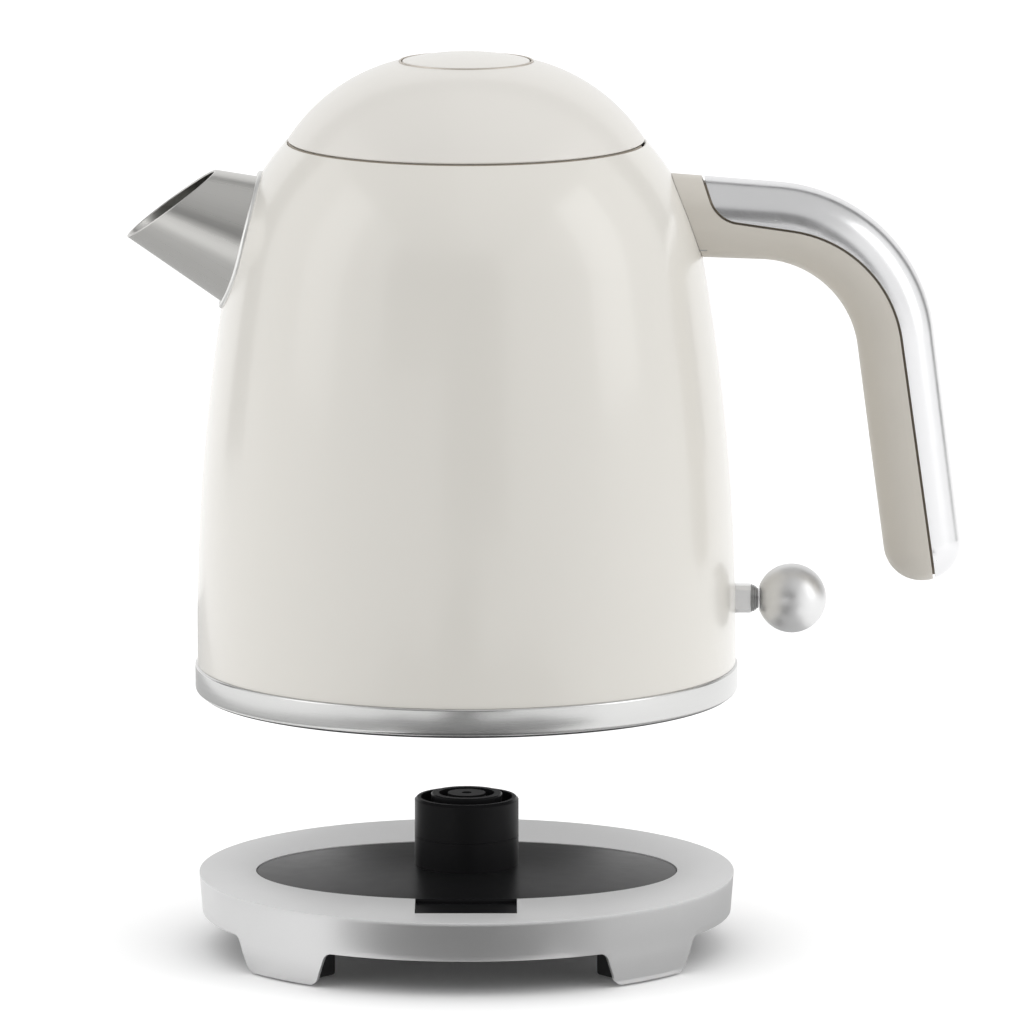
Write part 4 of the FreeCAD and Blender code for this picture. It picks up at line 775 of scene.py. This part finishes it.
@dataclass
class GrooveLiner:
    """The filler in the groove between the grip and the strap, in the warm grey that paints the groove's
    shade.
    """

    start: tuple[float, float] = (75.6, 162.0)
    neck: tuple[float, float, float] = (79.1, 151.9, 10.0)
    bend: tuple[float, float, float] = (132.9, 144.0, 40.8)
    end: tuple[float, float] = (148.0, 38.0)
    half_depth: float = 10.8
    end_depth: float = 6.0
    end_reach: float = 7.0
    width: float = 2.6
    segments: int = 16

    def build(self) -> None:
        """Draw the groove's line, widen it to a strip across the handle and narrow its ends."""
        blank = Blank()
        blank.outline(self.start, self.neck, self.bend, self.end, segments=self.segments)
        ends = [Vector((place[0], 0, place[1])) for place in (self.start, self.end)]
        closing = [
            edge
            for edge in blank.mesh.edges
            if all(min((point.co - place).length for place in ends) < TOUCH for point in edge.verts)
        ]
        bmesh.ops.delete(blank.mesh, geom=closing, context="EDGES")
        bmesh.ops.translate(blank.mesh, vec=(0, -self.half_depth, 0), verts=blank.mesh.verts)
        drawn = bmesh.ops.extrude_edge_only(blank.mesh, edges=blank.mesh.edges[:])["geom"]
        across = [item for item in drawn if isinstance(item, bmesh.types.BMVert)]
        bmesh.ops.translate(blank.mesh, vec=(0, 2 * self.half_depth, 0), verts=across)
        blank.slice([self.end[1] + self.end_reach], Vector((0, 0, 1)))
        for point in blank.mesh.verts:
            flat = Vector((point.co.x, 0, point.co.z))
            if min((flat - place).length for place in ends) < TOUCH:
                point.co.y = math.copysign(self.end_depth, point.co.y)
        blank.close_up()
        strip = blank.piece("handle_groove_liner", Body.KETTLE, Palette.shade_fill, lift=KETTLE_FOOT)
        wall = strip.modifiers.new("wall", "SOLIDIFY")
        wall.thickness = self.width * MM
        wall.offset = 0.0


@dataclass
class ButtonSpring:
    """The coil that lifts the lid button."""

    low: float = 178.3
    high: float = 200.44
    radius: float = 5.4
    wire: float = 0.6
    wire_facets: int = 10
    turns: int = 8
    steps: int = 24
    travel: float = 2.5
    play: float = 0.05

    def build(self) -> None:
        """Wind a round wire upwards and give the coil a mesh of its own."""
        blank = Blank()
        drawn = bmesh.ops.create_circle(blank.mesh, segments=self.wire_facets, radius=self.wire)["verts"]
        place = Matrix.Translation((self.radius, 0, self.low + self.wire))
        bmesh.ops.transform(blank.mesh, matrix=place @ Matrix.Rotation(math.pi / 2, 4, "X"), verts=drawn)
        count = self.turns * self.steps
        climb = self.high - self.low - 2 * self.wire
        bmesh.ops.spin(
            blank.mesh,
            geom=blank.mesh.verts[:] + blank.mesh.edges[:],
            cent=Vector(),
            axis=Vector((0, 0, 1)),
            dvec=Vector((0, 0, climb / count)),
            angle=math.tau * self.turns,
            steps=count,
        )
        bmesh.ops.holes_fill(blank.mesh, edges=[edge for edge in blank.mesh.edges if edge.is_boundary])
        blank.close_up()
        coil = blank.piece("button_spring_coil", Body.LID, Palette.steel, ["button_spring"], KETTLE_FOOT)
        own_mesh(coil)


@dataclass
class LeverCollar:
    """The ridged metal collar between the switch lever's bar and its ball."""

    start: float = 90.0
    end: float = 92.5
    height: float = 29.3
    big_radius: float = 4.35
    small_radius: float = 3.2
    ridges: int = 4
    narrowing: float = 1.6
    ridge_share: float = 0.7
    groove_share: float = 0.85
    groove: float = 0.22
    steps: int = 64

    def build(self) -> None:
        """Turn the collar about the lever's own line."""
        blank = Blank()
        pitch = (self.end - self.start) / self.ridges
        points: list[tuple[float, float]] = []
        for index in range(self.ridges):
            share = index / (self.ridges - 1)
            radius = self.big_radius + (self.small_radius - self.big_radius) * share**self.narrowing
            left = self.start + index * pitch
            points += [
                (left, radius),
                (left + self.ridge_share * pitch, radius),
                (left + self.groove_share * pitch, radius - self.groove),
            ]
        rim = [(x, self.height + radius) for x, radius in points]
        blank.trace((self.start, self.height), *rim, (self.end, self.height))
        blank.turn(self.steps, Vector((1, 0, 0)), Vector((0, 0, self.height)))
        blank.piece("lever_collar_ridged", Body.LEVER, Palette.collar, ["lever_collar"], KETTLE_FOOT)


# Pieces of the power base


@dataclass
class BaseRing:
    """The silver ring of the base, with its wall drawn down into four legs."""

    top: float = 24.0
    top_radius: float = 84.9
    bottom: float = 11.6
    bottom_radius: float = 83.9
    foot_level: float = 0.7
    foot_inset: float = 1.3
    foot_half: float = 15.2
    root_half: float = 19.8
    corner: float = 3.6
    fillet: float = 3.0
    wall: float = 1.35
    top_rounding: float = 2.2
    edge_rounding: float = 0.3
    oval: tuple[float, float] = (66.9, 47.9)
    notch_half: float = 15.95
    notch_reach: float = 69.4
    columns: int = 60
    rows: tuple[float, ...] = (2.5, 4.5, 6.5, 8.5, 10.2, 11.6, 14.0, 18.0)

    def wall_radius(self, height: float) -> float:
        """Outside radius of the wall at a height, drawn in a little towards the feet."""
        if height >= self.bottom:
            share = (height - self.bottom) / (self.top - self.bottom)
            return self.bottom_radius + (self.top_radius - self.bottom_radius) * share
        share = (self.bottom - height) / (self.bottom - self.foot_level)
        return self.bottom_radius - self.foot_inset * share**2

    def quarter_wall(self, blank: Blank) -> None:
        """Cut a quarter of the wall with one leg from a flat sheet and roll it up.

        Args:
            blank: The mesh to work in.
        """
        reach = self.bottom_radius * math.pi / 4
        blank.outline(
            (-reach, self.top),
            (-reach, self.bottom),
            (-self.root_half, self.bottom, self.fillet),
            (-self.foot_half, self.foot_level, self.corner),
            (self.foot_half, self.foot_level, self.corner),
            (self.root_half, self.bottom, self.fillet),
            (reach, self.bottom),
            (reach, self.top),
            segments=6,
        )
        bmesh.ops.contextual_create(blank.mesh, geom=blank.mesh.edges[:])
        step = 2 * reach / self.columns
        blank.slice([-reach + step * index for index in range(1, self.columns)], Vector((1, 0, 0)))
        blank.slice(self.rows, Vector((0, 0, 1)))
        for point in blank.mesh.verts:
            angle = point.co.x / self.bottom_radius + math.pi / 4
            radius = self.wall_radius(point.co.z)
            point.co = (radius * math.cos(angle), radius * math.sin(angle), point.co.z)

    def plate(self, blank: Blank) -> None:
        """Draw the wall's top edge inwards to the oval opening and cut the notch at the front.

        Args:
            blank: The mesh to work in.
        """
        level = self.top - TOUCH
        rim = [edge for edge in blank.mesh.edges if all(point.co.z > level for point in edge.verts)]
        drawn = bmesh.ops.extrude_edge_only(blank.mesh, edges=rim)["geom"]
        for point in (item for item in drawn if isinstance(item, bmesh.types.BMVert)):
            angle = math.atan2(point.co.y, point.co.x)
            point.co = (self.oval[0] * math.cos(angle), self.oval[1] * math.sin(angle), self.top)
        bmesh.ops.bevel(
            blank.mesh,
            geom=rim,
            offset=self.top_rounding,
            offset_type="OFFSET",
            segments=5,
            profile=0.5,
            affect="EDGES",
            material=-1,
        )
        sides = [(self.notch_half, Vector((1, 0, 0))), (-self.notch_half, Vector((1, 0, 0)))]
        for place, direction in sides + [(-self.notch_reach, Vector((0, 1, 0)))]:
            front = [face for face in blank.mesh.faces if self.in_front(face)]
            edges = {edge for face in front for edge in face.edges}
            points = {point for face in front for point in face.verts}
            bmesh.ops.bisect_plane(
                blank.mesh,
                geom=[*points, *edges, *front],
                dist=ON_PLANE,
                plane_co=direction * place,
                plane_no=direction,
            )
        notch = []
        for face in blank.mesh.faces:
            middle = face.calc_center_median()
            inside = abs(middle.x) < self.notch_half and -self.notch_reach < middle.y < 0
            if inside and middle.z > self.top - TOUCH:
                notch.append(face)
        bmesh.ops.delete(blank.mesh, geom=notch, context="FACES")

    def in_front(self, face: bmesh.types.BMFace) -> bool:
        """Whether a face belongs to the plate near the notch."""
        middle = face.calc_center_median()
        return middle.z > self.top - TOUCH and middle.y < 0 and abs(middle.x) < 2 * self.notch_half

    def build(self) -> None:
        """Make the ring's skin, then give it its wall and rounded edges."""
        blank = Blank()
        self.quarter_wall(blank)
        quarter = blank.mesh.verts[:] + blank.mesh.edges[:] + blank.mesh.faces[:]
        for count in range(1, 4):
            copy = bmesh.ops.duplicate(blank.mesh, geom=quarter)["geom"]
            bmesh.ops.rotate(
                blank.mesh,
                cent=(0, 0, 0),
                matrix=Matrix.Rotation(count * math.pi / 2, 3, "Z"),
                verts=[item for item in copy if isinstance(item, bmesh.types.BMVert)],
            )
        bmesh.ops.remove_doubles(blank.mesh, verts=blank.mesh.verts, dist=TOUCH)
        self.plate(blank)
        bmesh.ops.recalc_face_normals(blank.mesh, faces=blank.mesh.faces)
        top = max(blank.mesh.faces, key=lambda face: face.calc_center_median().z)
        if top.normal.z < 0:
            bmesh.ops.reverse_faces(blank.mesh, faces=blank.mesh.faces)
        ring = blank.piece("base_ring_with_legs", Body.BASE, Palette.silver, ["base_ring", "base_legs"])
        wall = ring.modifiers.new("wall", "SOLIDIFY")
        wall.thickness = self.wall * MM
        wall.offset = -1.0
        wall.use_even_offset = True
        wall.use_rim = True
        edge = ring.modifiers.new("edge", "BEVEL")
        edge.width = self.edge_rounding * MM
        edge.segments = 3
        edge.limit_method = "ANGLE"
        edge.angle_limit = math.radians(50)


@dataclass
class FootBlocks:
    """The dark blocks inside the legs that carry the rubber pads; their dark plastic also paints the shade
    inside the legs.
    """

    inner: float = 66.0
    outer: float = 80.4
    low: float = 1.0
    high: float = 21.2
    rounding: float = 1.0
    first_leg: float = 45.0
    legs: int = 4
    half_angle: float = 6.5
    steps: int = 12

    def build(self) -> None:
        """Sweep each block from its section."""
        blank = Blank()
        for leg in range(self.legs):
            section = Blank()
            section.outline(
                (self.inner, self.low, self.rounding),
                (self.outer, self.low, self.rounding),
                (self.outer, self.high),
                (self.inner, self.high),
            )
            face = bmesh.ops.contextual_create(section.mesh, geom=section.mesh.edges[:])["faces"]
            heading = self.first_leg + 360 / self.legs * leg - self.half_angle
            first = Matrix.Rotation(math.radians(heading), 3, "Z")
            bmesh.ops.rotate(section.mesh, cent=(0, 0, 0), matrix=first, verts=section.mesh.verts)
            bmesh.ops.spin(
                section.mesh,
                geom=face,
                cent=(0, 0, 0),
                axis=(0, 0, 1),
                angle=math.radians(2 * self.half_angle),
                steps=self.steps,
            )
            whole = bpy.data.meshes.new("block")
            section.mesh.to_mesh(whole)
            section.mesh.free()
            blank.mesh.from_mesh(whole)
            bpy.data.meshes.remove(whole)
        blank.close_up()
        blank.piece("foot_blocks", Body.BASE, Palette.dark)


# Pieces taken over from the frame


class CadPieces:
    """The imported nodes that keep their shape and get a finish."""

    special: dict[str, Finish] = {
        "lid_dome": Palette.lid,
        "lid_button": Palette.lid,
        "switch_lever": Palette.bar,
        "lever_ball": Palette.ball,
        "button_ring": Palette.button_ring,
    }

    def dress(self) -> None:
        """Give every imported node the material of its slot."""
        slots = {part["node"]: part["material_slot"] for part in frame["record"]["subparts"]}
        finishes = Palette.by_slot()
        for name, node in frame["nodes"].items():
            finish = self.special.get(name, finishes[slots[name]])
            node.data.materials.clear()
            node.data.materials.append(finish.material())
            LOG.info("dressed %s in %s", name, finish.name)


# The studio


@dataclass
class Lamp:
    """One soft box."""

    name: str
    place: tuple[float, float, float]
    aim: tuple[float, float, float]
    size: tuple[float, float]
    power: float

    def hang(self) -> None:
        """Put the lamp in the studio."""
        light = bpy.data.lights.new(self.name, "AREA")
        light.shape = "RECTANGLE"
        light.size, light.size_y = self.size
        light.energy = self.power
        lamp = bpy.data.objects.new(self.name, light)
        lamp.location = self.place
        lamp.rotation_euler = (Vector(self.aim) - Vector(self.place)).to_track_quat("-Z", "Y").to_euler()
        bpy.context.scene.collection.objects.link(lamp)


class Seen(Enum):
    """What sees a card: mirror-like reflections or matt surfaces."""

    MIRRORS = "mirrors"
    MATT = "matt"


def stage_object(name: str, shape: bmesh.types.BMesh, place: Matrix) -> bpy.types.Object:
    """Turn a mesh into a piece of the stage.

    Args:
        name: Object name.
        shape: The mesh, which is used up.
        place: Where it stands.

    Returns:
        The object, linked into the scene.
    """
    bmesh.ops.transform(shape, matrix=place, verts=shape.verts)
    mesh = bpy.data.meshes.new(name)
    shape.to_mesh(mesh)
    shape.free()
    made = bpy.data.objects.new(name, mesh)
    bpy.context.scene.collection.objects.link(made)
    return made


@dataclass
class Card:
    """A plain card outside the picture that shows only its front, with its width and height in metres."""

    name: str
    place: tuple[float, float, float]
    aim: tuple[float, float, float]
    size: tuple[float, float]
    shade: float
    seen: Seen = Seen.MIRRORS

    def shape(self) -> bmesh.types.BMesh:
        """The card's outline, flat on the ground."""
        sheet = bmesh.new()
        bmesh.ops.create_grid(sheet, x_segments=1, y_segments=1, size=0.5)
        bmesh.ops.scale(sheet, vec=(self.size[0], self.size[1], 1), verts=sheet.verts)
        return sheet

    def stand(self) -> None:
        """Put the card in the studio."""
        turn = (Vector(self.aim) - Vector(self.place)).to_track_quat("Z", "Y").to_matrix().to_4x4()
        card = stage_object(self.name, self.shape(), Matrix.Translation(self.place) @ turn)
        card.visible_camera = False
        card.visible_shadow = False
        card.visible_diffuse = self.seen is Seen.MATT
        card.visible_glossy = self.seen is Seen.MIRRORS
        material = bpy.data.materials.new(self.name + "_cloth")
        material.use_nodes = True
        tree = material.node_tree
        tree.nodes.clear()
        glow = tree.nodes.new("ShaderNodeEmission")
        glow.inputs["Strength"].default_value = self.shade
        clear = tree.nodes.new("ShaderNodeBsdfTransparent")
        side = tree.nodes.new("ShaderNodeNewGeometry")
        either = tree.nodes.new("ShaderNodeMixShader")
        tree.links.new(side.outputs["Backfacing"], either.inputs["Fac"])
        tree.links.new(glow.outputs["Emission"], either.inputs[1])
        tree.links.new(clear.outputs["BSDF"], either.inputs[2])
        output = tree.nodes.new("ShaderNodeOutputMaterial")
        tree.links.new(either.outputs["Shader"], output.inputs["Surface"])
        card.data.materials.append(material)


@dataclass
class Hoop(Card):
    """A round frame outside the picture, with its inner and outer radius as its size."""

    def shape(self) -> bmesh.types.BMesh:
        """The flat ring between both radii."""
        sheet = bmesh.new()
        for radius in self.size:
            bmesh.ops.create_circle(sheet, cap_ends=False, segments=96, radius=radius)
        bmesh.ops.bridge_loops(sheet, edges=sheet.edges)
        return sheet


@dataclass
class Studio:
    """White floor and surroundings, soft lamps, cards and the camera."""

    floor_size: float = 90.0
    floor_shade: float = 0.95
    # the floor's glow is lower near the part: a painted shadow round it
    floor_lift: tuple[float, float] = (0.03, 0.2)
    floor_fade: tuple[float, float] = (0.065, 0.115)
    world_fill: float = 1.0
    camera_place: tuple[float, float, float] = (0.0144, -3.5, 0.72452)
    camera_aim: tuple[float, float, float] = (0.0144, 0.0, 0.13921)
    lens: float = 394.7
    lamps: list[Lamp] = field(
        default_factory=lambda: [
            Lamp("lamp_left", (-1.7, -0.5, 1.0), (0, 0, 0.2), (0.8, 1.6), 3.0),
            Lamp("lamp_right", (1.7, -0.5, 1.0), (0, 0, 0.2), (0.8, 1.6), 5.0),
        ]
    )
    cards: list[Card] = field(
        default_factory=lambda: [
            Card("flag_front", (0, -4.6, 1.5), (0, 0, 1.5), (5.0, 3.4), 0.3, Seen.MATT),
            Card("flag_floor", (0, -0.5, 0.001), (0, -0.5, 1.0), (0.5, 0.7), 0.68, Seen.MATT),
            Card("glow_under", (0, -0.03, 0.079), (0, -0.03, 0), (0.15, 0.1), 0.8, Seen.MATT),
            Card("dark_front", (0.35, -4.5, 1.5), (0.35, 0, 1.5), (2.2, 3.4), 0.2),
            Card("dark_left", (-2.2, -4.5, 2.1), (-2.2, 0, 2.1), (2.9, 2.5), 0.2),
            Card("ceiling_left", (-1.1, -1.35, 2.4), (-1.1, -1.35, 0), (1.8, 5.3), 0.5),
            Card("ceiling_right", (0.9, -1.35, 2.4), (0.9, -1.35, 0), (2.2, 5.3), 0.68),
            Card("dark_back", (0, 0.62, 0.12), (0, 0, 0.12), (0.11, 0.2), 0.05),
            Card("floor_ring", (0, -0.22, 0.002), (0, -0.22, 1.0), (0.17, 0.25), 0.16),
            Card("floor_band", (0, -0.485, 0.002), (0, -0.485, 1.0), (0.72, 0.43), 0.34),
            Card("floor_body", (-0.05, -0.98, 0.002), (-0.05, -0.98, 1.0), (0.24, 0.52), 0.2),
            Card("floor_left", (-0.29, 0.1, 0.002), (-0.29, 0.1, 1.0), (0.26, 1.04), 0.6),
            Card("floor_right", (0.1, 0.0, 0.002), (0.1, 0.0, 1.0), (0.11, 0.6), 0.55),
            Card("floor_far", (0.0, -1.9, 0.002), (0.0, -1.9, 1.0), (0.34, 1.3), 0.42),
            Hoop("dark_hoop", (0, 1.2, 0.2), (0, 0, 0.2), (1.45, 2.6), 0.2),
        ]
    )

    @staticmethod
    def seen_directly(tree: bpy.types.NodeTree) -> bpy.types.NodeSocket:
        """Wire a test for rays that come from the camera, a mirror or a glass.

        Args:
            tree: The node tree to wire it in.

        Returns:
            One on such rays and zero on others.
        """
        path = tree.nodes.new("ShaderNodeLightPath")
        total = path.outputs["Is Camera Ray"]
        for name in ("Is Glossy Ray", "Is Transmission Ray"):
            either = tree.nodes.new("ShaderNodeMath")
            either.operation = "MAXIMUM"
            tree.links.new(total, either.inputs[0])
            tree.links.new(path.outputs[name], either.inputs[1])
            total = either.outputs[0]
        return total

    def surround(self) -> None:
        """Make the white surroundings."""
        world = bpy.data.worlds.new("surroundings")
        world.use_nodes = True
        white = world.node_tree.nodes["Background"]
        white.inputs["Color"].default_value = (1, 1, 1, 1)
        white.inputs["Strength"].default_value = self.world_fill
        bpy.context.scene.world = world

    def floor_glow(self, tree: bpy.types.NodeTree) -> bpy.types.NodeSocket:
        """Wire the floor's own light, which fades out under the part and so paints a shadow round it.

        Args:
            tree: The node tree to wire it in.

        Returns:
            The strength, which is zero on rays not seen directly.
        """
        place = tree.nodes.new("ShaderNodeTexCoord")
        away = tree.nodes.new("ShaderNodeVectorMath")
        away.operation = "LENGTH"
        tree.links.new(place.outputs["Object"], away.inputs[0])
        fade = tree.nodes.new("ShaderNodeMapRange")
        fade.inputs["From Min"].default_value, fade.inputs["From Max"].default_value = self.floor_fade
        fade.inputs["To Min"].default_value, fade.inputs["To Max"].default_value = self.floor_lift
        tree.links.new(away.outputs["Value"], fade.inputs["Value"])
        shown = tree.nodes.new("ShaderNodeMath")
        shown.operation = "MULTIPLY"
        tree.links.new(fade.outputs["Result"], shown.inputs[0])
        tree.links.new(self.seen_directly(tree), shown.inputs[1])
        return shown.outputs[0]

    def lay_floor(self) -> None:
        """Lay the pale floor, which keeps the shadow."""
        sheet = bmesh.new()
        bmesh.ops.create_grid(sheet, x_segments=1, y_segments=1, size=self.floor_size / 2)
        floor = stage_object("floor", sheet, Matrix.Identity(4))
        material = bpy.data.materials.new("floor_white")
        material.use_nodes = True
        tree = material.node_tree
        tree.nodes.clear()
        matt = tree.nodes.new("ShaderNodeBsdfDiffuse")
        matt.inputs["Color"].default_value = (self.floor_shade, self.floor_shade, self.floor_shade, 1)
        glow = tree.nodes.new("ShaderNodeEmission")
        tree.links.new(self.floor_glow(tree), glow.inputs["Strength"])
        both = tree.nodes.new("ShaderNodeAddShader")
        tree.links.new(matt.outputs["BSDF"], both.inputs[0])
        tree.links.new(glow.outputs["Emission"], both.inputs[1])
        output = tree.nodes.new("ShaderNodeOutputMaterial")
        tree.links.new(both.outputs["Shader"], output.inputs["Surface"])
        floor.data.materials.append(material)

    def stand_camera(self) -> None:
        """Stand the camera at the photograph's place."""
        lens = bpy.data.cameras.new("camera")
        lens.lens = self.lens
        lens.sensor_width = 36.0
        lens.clip_end = 300.0
        camera = bpy.data.objects.new("camera", lens)
        camera.location = self.camera_place
        aim = Vector(self.camera_aim) - Vector(self.camera_place)
        camera.rotation_euler = aim.to_track_quat("-Z", "Y").to_euler()
        bpy.context.scene.collection.objects.link(camera)
        bpy.context.scene.camera = camera

    def build(self) -> None:
        """Set the whole studio up."""
        bpy.context.scene.view_settings.view_transform = "Standard"
        self.stand_camera()
        self.surround()
        self.lay_floor()
        for card in self.cards:
            card.stand()
        for lamp in self.lamps:
            lamp.hang()


def main() -> None:
    """Build the looks and report each piece."""
    logging.basicConfig(level=logging.INFO, format="%(name)s: %(message)s")
    CadPieces().dress()
    body = KettleBody()
    FootBand().build()
    SeamLedge(body).build()
    SpoutBead(body).build()
    GrooveLiner().build()
    ButtonSpring().build()
    LeverCollar().build()
    BaseRing().build()
    FootBlocks().build()
    Studio().build()


if __name__ == "__main__":
    main()
